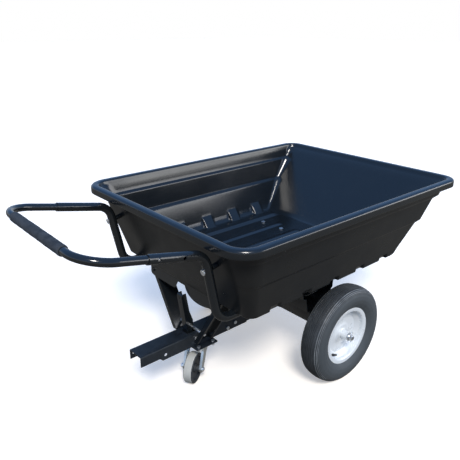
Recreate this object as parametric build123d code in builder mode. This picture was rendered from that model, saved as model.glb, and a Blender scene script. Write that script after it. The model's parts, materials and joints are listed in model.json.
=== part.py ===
"""Garden cart: a poly dump tub on two pneumatic wheels, with a tow tongue, a
swivelling front caster and a telescoping push handle.

Frame: +X points forward, to the handle and the tow hitch. +Y is the cart's left
side. +Z is up. The origin is on the ground under the middle of the whole cart.
All sizes are millimetres.
"""
import os
from math import atan2, cos, degrees, hypot, radians, sin

from build123d import *

os.makedirs("parts", exist_ok=True)

# ---------------------------------------------------------------- driving sizes
AXLE_X = -209.75           # main axle, seen from the middle of the whole cart
AXLE_Z = 200.0             # the wheel radius
AXLE_R = 10.0
FIT = 0.05                 # radial running clearance

# tub
RIM_TOP = 747.0
RIM_DROP = 31.0            # height of the turned-down lip
RIM_REAR = AXLE_X - 601.0
RIM_FRONT = AXLE_X + 627.0
RIM_HALF = 476.0
RIM_REAR_RADIUS = 72.0
RIM_FRONT_RADIUS = 92.0
RIM_WIDTH = 34.0
FLOOR_Z = 447.0            # underside of the tub
FLOOR_THICK = 6.0
WALL = 5.0                 # thickness over the floor's ribs
REAR_SLOPE = 0.855         # how far the dump wall reaches back for each unit of height
REAR_FOOT = -318.0
FRONT_SLOPE = 0.331
FRONT_FOOT = 500.0
RIB_PITCH = 118.0          # floor ribs lie at half, one and a half and two and a half pitches

# floor bolts, between the floor ribs
BOLT_R = 4.0
BOLT_HOLE_R = BOLT_R + 0.2
# Bolts: head radius and height, then the nut's width and height.
FRAME_BOLT = (7.5, 5, 13, 6.5)
WIDE_HEAD_BOLT = (10, 5, 13, 6.5)
FLOOR_BOLT = (9, 4.5, 13, 6.5)
PIVOT_BOLT = (8.5, 5.5, 16, 8)
CASTER_AXLE_BOLT = (8.5, 6.5, 16, 8)
FLOOR_BOLT_YS = (-2 * RIB_PITCH, -RIB_PITCH, RIB_PITCH, 2 * RIB_PITCH)
REAR_BOLTS_X = -160.0      # through the axle carrier's rear flange
FRONT_BOLTS_X = 454.0      # through the front cross member

# frame tubes
TUBE_Y = 295.0
TUBE_R = 16.0
TUBE_WALL = 2.5
SLEEVE_SLOPE = 12.2        # degrees, the sleeves and handle arms rise forwards
SLEEVE_MOUTH = (AXLE_X + 817.0, 732.0)
TUBE_KNEE = (AXLE_X + 615.0, 688.3)
TUBE_FOOT = (AXLE_X + 564.0, 439.0)
TUBE_REAR_X = AXLE_X - 205.0

# handle
HANDLE_R = 13.0
HANDLE_WALL = 2.0
HANDLE_BEND = 98.0
CROSSBAR_X = AXLE_X + 1003.0
GRIP_R = 17.5
GRIP_HALF = 178.0
HANDLE_INSERT = 54.0       # how far the arms reach into the sleeves
BUTTON_FROM_MOUTH = 33.0
HANDLE_TRAVEL = 88.0       # from the first sleeve hole to the second
BUTTON_R = 5.0

# tongue
TONGUE_FRONT = AXLE_X + 712.0
TONGUE_TOP = 223.6
TONGUE_BOTTOM = 169.5
TONGUE_HALF = 38.0
SHEET = 3.5

# latch
PIVOT = (AXLE_X + 463.0, 203.0)
STRIKE = (AXLE_X + 450.0, 230.0)
STRIKE_R = 6.0
STRIKE_HALF = 78.0         # the pin ends just outside the braces' webs
LEVER_HALF = 15.0
LEVER_SHEET = 3.0
PIVOT_R = 5.0

# wheels
WHEEL_Y = 375.0
TYRE_R = 200.0
TYRE_HALF = 50.0
RIM_FLANGE_R = 119.0
RIM_SEAT_R = 103.0
HUB_HALF = 43.0

# caster
CASTER_X = AXLE_X + 430.0
CASTER_R = 62.5
CASTER_WIDTH = 36.0
CASTER_TRAIL = 46.0
CASTER_ANGLE = 30.0        # degrees, where the trail points at rest
CASTER_TREAD = 5.0         # thickness of the tread over the core
PLATE_BOLT_X = 70.0
PLATE_BOLT_Y = 114.0


def save(part, name):
    """Label a finished piece and write its STEP file."""
    part.label = name
    export_step(part, f"parts/{name}.step")


def along_y(x, y, z):
    """A plane at a point whose normal is +Y, with its local x along +X."""
    return Plane(origin=(x, y, z), x_dir=(1, 0, 0), z_dir=(0, 1, 0))


def along_x(x, y, z):
    """A plane at a point whose normal is +X, with its local x along +Y."""
    return Plane(origin=(x, y, z), x_dir=(0, 1, 0), z_dir=(1, 0, 0))


def side_plane(y):
    """The XZ plane at a given y; its local x is +X and local y is +Z."""
    return Plane(origin=(0, y, 0), x_dir=(1, 0, 0), z_dir=(0, -1, 0))


WALL_BOLT_Z = 634.0


def run_x(z):
    """Centre line of the tubes' run down the front wall."""
    slope = (TUBE_KNEE[0] - TUBE_FOOT[0]) / (TUBE_KNEE[1] - TUBE_FOOT[1])
    return TUBE_FOOT[0] + slope * (z - TUBE_FOOT[1])


RUN_TILT = degrees(atan2(TUBE_KNEE[0] - TUBE_FOOT[0], TUBE_KNEE[1] - TUBE_FOOT[1]))
run_normal = Vector(cos(radians(RUN_TILT)), 0, -sin(radians(RUN_TILT)))


def wall_bolt_plane(y):
    """Plane on the tube's centre line, its normal square to the tube, pointing forwards."""
    return Plane(origin=(run_x(WALL_BOLT_Z), y, WALL_BOLT_Z), x_dir=(0, 1, 0), z_dir=run_normal)


# ------------------------------------------------------------------------- tub
def rear_reach(z):
    """Where the sloped rear wall's outside is, from the axle, at a height."""
    return REAR_FOOT - REAR_SLOPE * (z - FLOOR_Z)


def front_reach(z):
    """Where the front wall's outside is, from the axle, at a height."""
    return FRONT_FOOT + FRONT_SLOPE * (z - FLOOR_Z)


# Each level: height, how far the rear and front feet are rounded in, the side's
# reach, and the corner radii at the rear and at the front. The side walls step
# out at two ledges, which die away into the plain rear and front walls.
OUTSIDE = [
    (FLOOR_Z, 12, 3, 376, 14, 34),
    (FLOOR_Z + 3, 6, 0.5, 380, 15, 36),
    (FLOOR_Z + 9, 2, 0, 382, 16, 38),
    (FLOOR_Z + 28, 0, 0, 384, 18, 40),
    (578, 0, 0, 409, 36, 58),
    (588, 0, 0, 419, 24, 62),
    (672, 0, 0, 431, 46, 76),
    (682, 0, 0, 439, 15, 84),
    (RIM_TOP - 4, 0, 0, 448, 50, 66),
]
INSIDE = [
    (FLOOR_Z + FLOOR_THICK, 18, 16, 347, 10, 24),
    (FLOOR_Z + 10, 11, 8, 357, 11, 28),
    (FLOOR_Z + 20, 7.5, 5.8, 364, 12, 32),
    (FLOOR_Z + 34, 6.8, 5.3, 371, 13, 35),
    (584, 6.8, 5.3, 404, 31, 53),
    (594, 6.8, 5.3, 414, 19, 57),
    (678, 6.8, 5.3, 426, 41, 71),
    (688, 6.8, 5.3, 434, 10, 79),
    (RIM_TOP + 2, 6.8, 5.3, 443, 45, 61),
]


def rounded_outline(rear, front, half, rear_radius, front_radius):
    """A flat outline with its own corner radii at the rear and at the front."""
    with BuildSketch() as outline:
        with Locations((AXLE_X + (rear + front) / 2, 0)):
            Rectangle(front - rear, 2 * half)
        fillet(outline.vertices().group_by(Axis.X)[0], rear_radius)
        fillet(outline.vertices().group_by(Axis.X)[-1], front_radius)
    return outline.sketch


def tub_block(levels):
    """A solid lofted through the given levels of the tub."""
    with BuildPart() as block:
        for z, rear_in, front_in, half, rear_radius, front_radius in levels:
            with BuildSketch(Plane.XY.offset(z)):
                add(rounded_outline(rear_reach(z) + rear_in, front_reach(z) - front_in, half,
                                    rear_radius, front_radius))
        loft(ruled=True)
    return block.part


SADDLES = [AXLE_X + 385 - 155 * i for i in range(5)]
SADDLE_TILT = 39.0         # degrees the saddles lean outwards from upright
SADDLE_FOOT = 364.0        # their reach at the tub's underside
SADDLE_THICK = 24.0        # from a saddle's notch outside to its raised face inside


def saddle_cutters(depth, width):
    """Wedges across the foot of the side walls, one for each pressed saddle."""
    with BuildPart() as cutters:
        for x in SADDLES:
            for side in (1, -1):
                foot = Plane(origin=(x, side * SADDLE_FOOT, FLOOR_Z), x_dir=(1, 0, 0),
                             z_dir=(0, side * cos(radians(SADDLE_TILT)), -sin(radians(SADDLE_TILT))))
                with BuildSketch(foot.offset(-depth)):
                    RectangleRounded(width, 150, 8)
                with BuildSketch(foot.offset(60)):
                    RectangleRounded(width + 40, 190, 8)
                loft()
    return cutters.part


def floor_ribs(grow):
    """Bars under the floor: grooves outside, raised ribs inside."""
    with BuildPart() as ribs:
        for i in range(6):
            y = (i - 2.5) * RIB_PITCH
            outer = i in (0, 5)
            half = (18.5 if outer else 6.0) + grow
            top = FLOOR_Z + (10.0 if outer else 4.0) + grow
            start = AXLE_X - 330 if outer else AXLE_X - 215
            end = AXLE_X + 520 if outer else AXLE_X + 440
            with BuildSketch(Plane.YZ.offset(start)):
                with BuildLine():
                    Polyline((y - half - 4, FLOOR_Z - 30), (y - half, top), (y + half, top),
                             (y + half + 4, FLOOR_Z - 30), close=True)
                make_face()
            extrude(amount=end - start)
    return ribs.part


shell = tub_block(OUTSIDE) - saddle_cutters(0, 46) - floor_ribs(0)
cavity = tub_block(INSIDE) - saddle_cutters(SADDLE_THICK, 52) - floor_ribs(WALL)


def lip_outline(inset):
    """The lip's outer outline, drawn in by the given inset."""
    return rounded_outline(RIM_REAR - AXLE_X + inset, RIM_FRONT - AXLE_X - inset, RIM_HALF - inset,
                           RIM_REAR_RADIUS - inset, RIM_FRONT_RADIUS - inset)


with BuildPart() as lip:
    with BuildSketch(Plane.XY.offset(RIM_TOP - RIM_DROP)):
        add(lip_outline(0))
        add(lip_outline(RIM_WIDTH), mode=Mode.SUBTRACT)
    extrude(amount=RIM_DROP)
    fillet(lip.edges().group_by(Axis.Z)[-1], 13)
    # The lip is hollow underneath.
    with BuildSketch(Plane.XY.offset(RIM_TOP - RIM_DROP)):
        add(lip_outline(4))
        add(lip_outline(27), mode=Mode.SUBTRACT)
    extrude(amount=RIM_DROP - 12, mode=Mode.SUBTRACT)

floor_holes = [Location((AXLE_X + x, y, FLOOR_Z))
               for x in (REAR_BOLTS_X, FRONT_BOLTS_X) for y in FLOOR_BOLT_YS]

with BuildPart() as tub:
    add(shell)
    add(cavity, mode=Mode.SUBTRACT)
    add(lip.part)
    # Bolt holes in the floor and in the front wall.
    with Locations(*floor_holes):
        Cylinder(BOLT_HOLE_R, 60, mode=Mode.SUBTRACT)
    for y in (TUBE_Y, -TUBE_Y):
        with Locations(wall_bolt_plane(y)):
            Cylinder(BOLT_HOLE_R, 140, mode=Mode.SUBTRACT)
save(tub.part, "tub")


# ------------------------------------------------------------ tub frame pieces
sleeve_dir = Vector(cos(radians(SLEEVE_SLOPE)), 0, sin(radians(SLEEVE_SLOPE)))


def frame_tube(y):
    """One bent tube: sleeve, knee, run down the front wall, foot, run under the floor."""
    with BuildPart() as tube:
        with BuildLine(side_plane(y)) as path:
            FilletPolyline(SLEEVE_MOUTH, TUBE_KNEE, TUBE_FOOT, (TUBE_REAR_X, TUBE_FOOT[1]),
                           radius=62)
        mouth = Plane(origin=(SLEEVE_MOUTH[0], y, SLEEVE_MOUTH[1]), z_dir=-sleeve_dir)
        with BuildSketch(mouth):
            Circle(TUBE_R)
            Circle(TUBE_R - TUBE_WALL, mode=Mode.SUBTRACT)
        sweep(path=path.line)
        out = 1 if y > 0 else -1
        for distance in (BUTTON_FROM_MOUTH, BUTTON_FROM_MOUTH + HANDLE_TRAVEL):
            spot = Vector(SLEEVE_MOUTH[0], y, SLEEVE_MOUTH[1]) - sleeve_dir * distance
            with Locations(along_y(spot.X, y + out * 12, spot.Z)):
                Cylinder(BUTTON_R + 0.6, 16, mode=Mode.SUBTRACT)
        # Cross holes for the wall bolt, which passes through tube and spacer.
        with Locations(wall_bolt_plane(y)):
            Cylinder(BOLT_HOLE_R, 200, mode=Mode.SUBTRACT)
    return tube.part


SPACER_LENGTH = 22.9       # from the tube's back to the front wall
SPACER_R = 9.0

for side, y in (("left", TUBE_Y), ("right", -TUBE_Y)):
    save(frame_tube(y), f"{side}_frame_tube")

with BuildPart() as wall_spacers:
    for y in (TUBE_Y, -TUBE_Y):
        with Locations(wall_bolt_plane(y)):
            with Locations((0, 0, -TUBE_R - 0.1 - SPACER_LENGTH / 2)):
                Cylinder(SPACER_R, SPACER_LENGTH)
                Cylinder(BOLT_R + 0.3, SPACER_LENGTH, mode=Mode.SUBTRACT)
    # The spacer's front end is scooped to sit against the round tube.
    for y in (TUBE_Y, -TUBE_Y):
        foot = Plane(origin=(run_x(WALL_BOLT_Z), y, WALL_BOLT_Z), x_dir=(0, 1, 0),
                     z_dir=(sin(radians(RUN_TILT)), 0, cos(radians(RUN_TILT))))
        with Locations(foot):
            Cylinder(TUBE_R + 0.05, 60, mode=Mode.SUBTRACT)
save(wall_spacers.part, "wall_spacers")


def bolt_stack(spots, radius, grip, head_r, head_h, nut_w, nut_h, tail=4.0):
    """Bolts at the given locations: head above local z 0, nut below local z -grip."""
    with BuildPart() as bolts:
        with Locations(*spots):
            with Locations((0, 0, head_h / 2)):
                Cylinder(head_r, head_h)
            with Locations((0, 0, -(grip + nut_h + tail) / 2)):
                Cylinder(radius, grip + nut_h + tail)
        for spot in spots:
            with BuildSketch(Plane(spot).offset(-grip - nut_h)):
                RegularPolygon(nut_w / 2, 6, major_radius=False)
            extrude(amount=nut_h)
        tops = bolts.edges().filter_by(GeomType.CIRCLE)
        tops = tops.filter_by(lambda e: abs(e.radius - head_r) < 0.01)
        heads = [max(tops, key=lambda e: (e.center() - Plane(s).origin).dot(Plane(s).z_dir)
                     - 5 * (e.center() - Plane(s).origin).length) for s in spots]
        chamfer(heads, head_h * 0.35)
    return bolts.part


wall_spots = []
for y in (TUBE_Y, -TUBE_Y):
    wall_spots.append(Location(wall_bolt_plane(y).offset(TUBE_R + 0.1)))
wall_grip = 2 * TUBE_R + 0.2 + SPACER_LENGTH + 7.3
save(bolt_stack(wall_spots, BOLT_R, wall_grip, *WIDE_HEAD_BOLT), "wall_bolts")

# Front cross member: a channel under the floor, between the two frame tubes.
CROSS_FRONT = AXLE_X + 492
CROSS_REAR = AXLE_X + 416
CROSS_HALF = TUBE_Y - TUBE_R - 0.4
APRON_HALF = 214.0         # the upright faces end where the braces' heads end
brace_bolt_spots = [Location(along_x(CROSS_FRONT + 0.1, y, 421)) for y in (-197, 197)]
with BuildPart() as front_cross_member:
    with BuildSketch(Plane.XY.offset(FLOOR_Z - SHEET - 0.2)):
        with Locations(((CROSS_FRONT + CROSS_REAR) / 2, 0)):
            Rectangle(CROSS_FRONT - CROSS_REAR, 2 * CROSS_HALF)
    extrude(amount=SHEET)
    for face_x in (CROSS_FRONT - SHEET, CROSS_REAR):
        with BuildSketch(along_x(face_x, 0, 0)):
            with BuildLine():
                corner = FilletPolyline((-APRON_HALF, FLOOR_Z - 0.2), (-APRON_HALF, 402), (-190, 396),
                                        (-52, 396), (-31, 432), (31, 432), (52, 396), (190, 396),
                                        (APRON_HALF, 402), (APRON_HALF, FLOOR_Z - 0.2),
                                        radius=11, close=False)
                Line(corner @ 1, corner @ 0)
            make_face()
        extrude(amount=SHEET)
    with Locations(*[Location((AXLE_X + FRONT_BOLTS_X, y, FLOOR_Z)) for y in FLOOR_BOLT_YS]):
        Cylinder(BOLT_HOLE_R, 30, mode=Mode.SUBTRACT)
    with Locations(*brace_bolt_spots):
        Cylinder(BOLT_HOLE_R, 200, mode=Mode.SUBTRACT)
save(front_cross_member.part, "front_cross_member")

# Braces: channels that lean in from the cross member to straddle the tongue.
BRACE_FOOT = (52.0, 196.0)     # y, z where the brace ends beside the tongue
BRACE_HEAD = (200.0, 437.0)
BRACE_FRONT = AXLE_X + 488
BRACE_WIDTH = 68.0
BRACE_FLANGE = 19.0


def brace(out):
    """A channel with its web inwards and both flanges turned outwards."""
    run = (BRACE_HEAD[0] - BRACE_FOOT[0], BRACE_HEAD[1] - BRACE_FOOT[1])
    length = hypot(*run)
    foot = Plane(origin=(BRACE_FRONT - BRACE_WIDTH / 2, out * BRACE_FOOT[0], BRACE_FOOT[1]),
                 x_dir=(1, 0, 0), z_dir=(0, out * run[0] / length, run[1] / length))
    outward = 1 if foot.y_dir.Y * out > 0 else -1
    with BuildPart() as channel:
        with BuildSketch(foot):
            with Locations((0, outward * BRACE_FLANGE / 2)):
                Rectangle(BRACE_WIDTH, BRACE_FLANGE)
            with Locations((0, outward * (BRACE_FLANGE / 2 + SHEET))):
                Rectangle(BRACE_WIDTH - 2 * SHEET, BRACE_FLANGE, mode=Mode.SUBTRACT)
        extrude(amount=length)
        # The head is cut level under the cross member's top plate.
        with Locations((BRACE_FRONT, out * BRACE_HEAD[0], FLOOR_Z - SHEET - 0.4 + 50)):
            Box(200, 200, 100, mode=Mode.SUBTRACT)
        with Locations((BRACE_FRONT, out * BRACE_FOOT[0], BRACE_FOOT[1] - 41)):
            Box(200, 120, 100, mode=Mode.SUBTRACT)
        with Locations(along_y(STRIKE[0], 0, STRIKE[1])):
            Cylinder(STRIKE_R + 0.02, 400, mode=Mode.SUBTRACT)
        with Locations(*brace_bolt_spots):
            Cylinder(BOLT_HOLE_R, 200, mode=Mode.SUBTRACT)
    return channel.part


for side, out in (("left", 1), ("right", -1)):
    save(brace(out), f"{side}_brace")

with BuildPart() as strike_pin:
    with BuildSketch(along_y(STRIKE[0], -STRIKE_HALF, STRIKE[1])):
        Circle(STRIKE_R)
    extrude(amount=2 * STRIKE_HALF)
    chamfer(strike_pin.edges().filter_by(GeomType.CIRCLE), 1.5)
save(strike_pin.part, "strike_pin")

save(bolt_stack(brace_bolt_spots, BOLT_R, CROSS_FRONT - CROSS_REAR + 0.3, *FRAME_BOLT), "brace_bolts")

# Axle carrier: a pressed saddle between the floor and the axle.
CARRIER_SHEET = 2.2
CARRIER_HALF = 272.0
CARRIER_TOP = TUBE_FOOT[1] - TUBE_R - 0.2
CARRIER_BASE = AXLE_Z + 22.0
SADDLE_X = 163.0           # the welded saddles that hold the frame tubes
with BuildPart() as axle_carrier:
    with BuildSketch(side_plane(CARRIER_HALF)):
        with BuildLine():
            Polyline((AXLE_X + 195, CARRIER_TOP), (AXLE_X + 132, CARRIER_TOP),
                     (AXLE_X + 112, 343), (AXLE_X + 96, 337), (AXLE_X + 86, 280),
                     (AXLE_X + 72, 274), (AXLE_X + 62, CARRIER_BASE),
                     (AXLE_X - 42, CARRIER_BASE), (AXLE_X - 52, 337), (AXLE_X - 60, 343),
                     (AXLE_X - 66, CARRIER_TOP), (AXLE_X - 195, CARRIER_TOP))
            offset(amount=CARRIER_SHEET, side=Side.LEFT)
        make_face()
    extrude(amount=2 * CARRIER_HALF)
    # The front flange runs on past the tubes to the tub's sides.
    with Locations((AXLE_X + 163.5, 0, CARRIER_TOP - CARRIER_SHEET / 2)):
        Box(63, 2 * 350, CARRIER_SHEET)
    # The middle is cut away, so that the tongue passes as the bed tips.
    with Locations((AXLE_X, 0, AXLE_Z + 28)):
        Box(360, 2 * 52, 128, mode=Mode.SUBTRACT)
    with Locations(*[Location((AXLE_X + REAR_BOLTS_X, y, CARRIER_TOP)) for y in FLOOR_BOLT_YS]):
        Cylinder(BOLT_HOLE_R, 30, mode=Mode.SUBTRACT)
save(axle_carrier.part, "axle_carrier")

# Bearing brackets hang under the carrier and turn on the axle, on nylon bushings.
BRACKET_Y = 225.0
BRACKET_HALF = 20.0
BUSH_R = 14.0
for side, y in (("left", BRACKET_Y), ("right", -BRACKET_Y)):
    with BuildPart() as bracket:
        with BuildSketch(side_plane(y + BRACKET_HALF)):
            with Locations((AXLE_X, AXLE_Z)):
                Circle(BUSH_R + 5)
            with Locations((AXLE_X + 2, (AXLE_Z + CARRIER_BASE - CARRIER_SHEET) / 2)):
                Rectangle(60, CARRIER_BASE - CARRIER_SHEET - AXLE_Z)
            with Locations((AXLE_X, AXLE_Z)):
                Circle(BUSH_R, mode=Mode.SUBTRACT)
        extrude(amount=2 * BRACKET_HALF)
    save(bracket.part, f"{side}_axle_bracket")

with BuildPart() as axle_bushings:
    for y in (BRACKET_Y, -BRACKET_Y):
        out = 1 if y > 0 else -1
        with BuildSketch(along_y(AXLE_X, y - BRACKET_HALF, AXLE_Z)):
            Circle(BUSH_R)
            Circle(AXLE_R + FIT, mode=Mode.SUBTRACT)
        extrude(amount=2 * BRACKET_HALF)
        with BuildSketch(along_y(AXLE_X, y + out * BRACKET_HALF, AXLE_Z)):
            Circle(BUSH_R + 4)
            Circle(AXLE_R + FIT, mode=Mode.SUBTRACT)
        extrude(amount=out * 3)
save(axle_bushings.part, "axle_bushings")

# Floor bolts: rounded heads on the tub floor, nuts under the steel.
FLOOR_TOP = FLOOR_Z + FLOOR_THICK
rear_spots = [Location((AXLE_X + REAR_BOLTS_X, y, FLOOR_TOP + 0.05)) for y in FLOOR_BOLT_YS]
front_spots = [Location((AXLE_X + FRONT_BOLTS_X, y, FLOOR_TOP + 0.05)) for y in FLOOR_BOLT_YS]
rear_grip = FLOOR_TOP - CARRIER_TOP + CARRIER_SHEET + 0.2
front_grip = FLOOR_THICK + SHEET + 0.4
save(bolt_stack(rear_spots, BOLT_R, rear_grip, *FLOOR_BOLT), "rear_floor_bolts")
save(bolt_stack(front_spots, BOLT_R, front_grip, *FLOOR_BOLT), "front_floor_bolts")

with BuildPart() as floor_spacers:
    for y in FLOOR_BOLT_YS:
        with BuildSketch(Plane.XY.offset(CARRIER_TOP + 0.05)):
            with Locations((AXLE_X + REAR_BOLTS_X, y)):
                Circle(11)
                Circle(BOLT_HOLE_R, mode=Mode.SUBTRACT)
        extrude(amount=FLOOR_Z - CARRIER_TOP - 0.1)
save(floor_spacers.part, "floor_spacers")

with BuildPart() as tube_saddles:
    for y in (TUBE_Y, -TUBE_Y):
        with BuildSketch(along_x(AXLE_X + SADDLE_X - 15, y, TUBE_FOOT[1])):
            Circle(TUBE_R + 3)
            with Locations((0, -(TUBE_R + 3) / 2)):
                Rectangle(2 * TUBE_R + 6, TUBE_R + 3)
            Circle(TUBE_R + 0.05, mode=Mode.SUBTRACT)
            with Locations((0, -50 - TUBE_R - 0.1)):
                Rectangle(100, 100, mode=Mode.SUBTRACT)
            with Locations((0, 50 + 5)):
                Rectangle(100, 100, mode=Mode.SUBTRACT)
        extrude(amount=30)
save(tube_saddles.part, "tube_saddles")

# -------------------------------------------------------------------- handle
def on_arm(distance, y):
    """A point on the handle arm's centre line, measured forwards from the mouth."""
    return Vector(SLEEVE_MOUTH[0], y, SLEEVE_MOUTH[1]) + sleeve_dir * distance


arm_plane = Plane(origin=(SLEEVE_MOUTH[0], 0, SLEEVE_MOUTH[1]), x_dir=sleeve_dir, z_dir=(
    -sin(radians(SLEEVE_SLOPE)), 0, cos(radians(SLEEVE_SLOPE))))
REACH = (CROSSBAR_X - SLEEVE_MOUTH[0]) / cos(radians(SLEEVE_SLOPE))

with BuildPart() as handle_tube:
    with BuildLine(arm_plane) as bow:
        FilletPolyline((-HANDLE_INSERT, TUBE_Y), (REACH, TUBE_Y), (REACH, -TUBE_Y),
                       (-HANDLE_INSERT, -TUBE_Y), radius=HANDLE_BEND)
    with BuildSketch(Plane(origin=on_arm(-HANDLE_INSERT, TUBE_Y), z_dir=sleeve_dir)):
        Circle(HANDLE_R)
        Circle(HANDLE_R - HANDLE_WALL, mode=Mode.SUBTRACT)
    sweep(path=bow.line)
    for out in (1, -1):
        spot = on_arm(-BUTTON_FROM_MOUTH, out * TUBE_Y)
        with Locations(along_y(spot.X, spot.Y + out * 12, spot.Z)):
            Cylinder(BUTTON_R + FIT + 0.05, 16, mode=Mode.SUBTRACT)
save(handle_tube.part, "handle_tube")

grip_plane = Plane(origin=on_arm(REACH, -GRIP_HALF), x_dir=(1, 0, 0), z_dir=(0, 1, 0))
with BuildPart() as foam_grip:
    with BuildSketch(grip_plane):
        Circle(GRIP_R)
        Circle(HANDLE_R + 0.02, mode=Mode.SUBTRACT)
    extrude(amount=2 * GRIP_HALF)
    fillet(foam_grip.edges().filter_by(GeomType.CIRCLE).group_by(SortBy.RADIUS)[-1], 2.5)
save(foam_grip.part, "foam_grip")

# Snap buttons, drawn pressed in, and the leaf springs behind them.
BUTTON_LONG = 12.0         # from the crown to the flange that keeps it inside the tube
for side, out in (("left", 1), ("right", -1)):
    spot = on_arm(-BUTTON_FROM_MOUTH, out * TUBE_Y)
    crown = HANDLE_R + 0.2
    with BuildPart() as button:
        with BuildSketch(along_y(spot.X, spot.Y + out * (crown - BUTTON_LONG), spot.Z)):
            Circle(BUTTON_R)
        extrude(amount=out * BUTTON_LONG)
        outer_edge = button.edges().filter_by(GeomType.CIRCLE).sort_by(Axis.Y)[-1 if out > 0 else 0]
        fillet(outer_edge, 2.6)
        inner_y = spot.Y + out * (crown - BUTTON_LONG)
        with BuildSketch(along_y(spot.X, inner_y, spot.Z)):
            Circle(BUTTON_R + 1.6)
        extrude(amount=out * 1.6)
    save(button.part, f"{side}_snap_button")
    with BuildPart() as leaf:
        strip = Plane(origin=on_arm(-BUTTON_FROM_MOUTH, spot.Y - out * 6.9), x_dir=sleeve_dir,
                      z_dir=(-sin(radians(SLEEVE_SLOPE)), 0, cos(radians(SLEEVE_SLOPE))))
        with BuildSketch(strip.offset(-4)):
            with BuildLine():
                Polyline((-8, out * 7.6), (10, out * 7.6), (30, out * 6.6), (34, out * 4), (30, out * 1.4),
                         (-8, 0))
                offset(amount=0.45, side=Side.BOTH)
            make_face()
        extrude(amount=8)
    save(leaf.part, f"{side}_button_spring")

# -------------------------------------------------------------------- tongue
TONGUE_REAR_END = AXLE_X - 30
SPLICE_FRONT = AXLE_X + 302
SPLICE_REAR = AXLE_X + 262
FRONT_CHANNEL_REAR = AXLE_X + 196
HITCH_BORE = (AXLE_X + 604, 189.0)
HITCH_BORE_R = 6.5
SIDE_HOLE = (AXLE_X + 697, 203.0)
SIDE_HOLE_R = 5.0
LOW_FLANGE_END = AXLE_X + 618
LOW_FLANGE_RISE = 12.0
SLOT_BEHIND = 19.0         # the lever's slot, from the pivot
SLOT_AHEAD = 28.0
SLIT_LENGTH = 29.0
SLIT_WIDTH = 4.0
splice_spots = [Location(along_y(SPLICE_FRONT, TONGUE_HALF + 0.05, 184)),
                Location(along_y(SPLICE_REAR, TONGUE_HALF + 0.05, 195))]
pivot_spot = Location(along_y(PIVOT[0], TONGUE_HALF + 0.05, PIVOT[1]))

with BuildPart() as tongue:
    with BuildSketch(along_x(FRONT_CHANNEL_REAR, 0, 0)):
        with Locations((0, (TONGUE_TOP + TONGUE_BOTTOM) / 2)):
            Rectangle(2 * TONGUE_HALF, TONGUE_TOP - TONGUE_BOTTOM)
    extrude(amount=TONGUE_FRONT - FRONT_CHANNEL_REAR)
    fillet(tongue.edges().filter_by(Axis.X).group_by(Axis.Z)[-1], 5)
    with BuildSketch(along_x(FRONT_CHANNEL_REAR - 1, 0, 0)):
        with Locations((0, (TONGUE_TOP - SHEET + TONGUE_BOTTOM - 10) / 2)):
            Rectangle(2 * (TONGUE_HALF - SHEET), TONGUE_TOP - SHEET - TONGUE_BOTTOM + 10)
    extrude(amount=TONGUE_FRONT - FRONT_CHANNEL_REAR + 2, mode=Mode.SUBTRACT)
    # The flanges are shallower ahead of the hitch bore.
    with BuildSketch(side_plane(TONGUE_HALF + 5)):
        with BuildLine():
            Polyline((LOW_FLANGE_END, TONGUE_BOTTOM - 5), (LOW_FLANGE_END, TONGUE_BOTTOM),
                     (LOW_FLANGE_END + 13, TONGUE_BOTTOM + LOW_FLANGE_RISE),
                     (TONGUE_FRONT + 5, TONGUE_BOTTOM + LOW_FLANGE_RISE),
                     (TONGUE_FRONT + 5, TONGUE_BOTTOM - 5), close=True)
        make_face()
    extrude(amount=2 * TONGUE_HALF + 10, mode=Mode.SUBTRACT)
    # Slot for the latch lever.
    with BuildSketch(Plane.XY.offset(TONGUE_TOP - 12)):
        with Locations((PIVOT[0] + (SLOT_AHEAD - SLOT_BEHIND) / 2, 0)):
            RectangleRounded(SLOT_AHEAD + SLOT_BEHIND, 2 * LEVER_HALF + 8, 4)
        # A narrow slit just ahead of it.
        with Locations((PIVOT[0] + 50, 0)):
            SlotOverall(SLIT_LENGTH, SLIT_WIDTH)
    extrude(amount=14, mode=Mode.SUBTRACT)
    with Locations(along_y(HITCH_BORE[0], 0, HITCH_BORE[1])):
        Cylinder(HITCH_BORE_R, 100, mode=Mode.SUBTRACT)
    with Locations(along_y(SIDE_HOLE[0], -TONGUE_HALF, SIDE_HOLE[1])):
        Cylinder(SIDE_HOLE_R, 20, mode=Mode.SUBTRACT)
    with Locations(*splice_spots):
        Cylinder(BOLT_HOLE_R, 200, mode=Mode.SUBTRACT)
    with Locations(pivot_spot):
        Cylinder(PIVOT_R + 0.05, 200, mode=Mode.SUBTRACT)
save(tongue.part, "tongue")

INNER_HALF = TONGUE_HALF - SHEET - 0.1
with BuildPart() as rear_tongue:
    inner_top = TONGUE_TOP - SHEET - 0.1
    with BuildSketch(along_x(TONGUE_REAR_END, 0, 0)):
        with Locations((0, (inner_top + TONGUE_BOTTOM + 2) / 2)):
            Rectangle(2 * INNER_HALF, inner_top - TONGUE_BOTTOM - 2)
    extrude(amount=AXLE_X + 332 - TONGUE_REAR_END)
    with BuildSketch(along_x(TONGUE_REAR_END - 1, 0, 0)):
        with Locations((0, (inner_top - SHEET + TONGUE_BOTTOM - 10) / 2)):
            Rectangle(2 * (INNER_HALF - SHEET), inner_top - SHEET - TONGUE_BOTTOM + 10)
    extrude(amount=400, mode=Mode.SUBTRACT)
    with Locations(along_y(AXLE_X, 0, AXLE_Z)):
        Cylinder(AXLE_R + 0.02, 100, mode=Mode.SUBTRACT)
    with Locations(*splice_spots):
        Cylinder(BOLT_HOLE_R, 200, mode=Mode.SUBTRACT)
save(rear_tongue.part, "rear_tongue")
save(bolt_stack(splice_spots, BOLT_R, 2 * TONGUE_HALF + 0.2, *FRAME_BOLT), "tongue_bolts")

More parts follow.
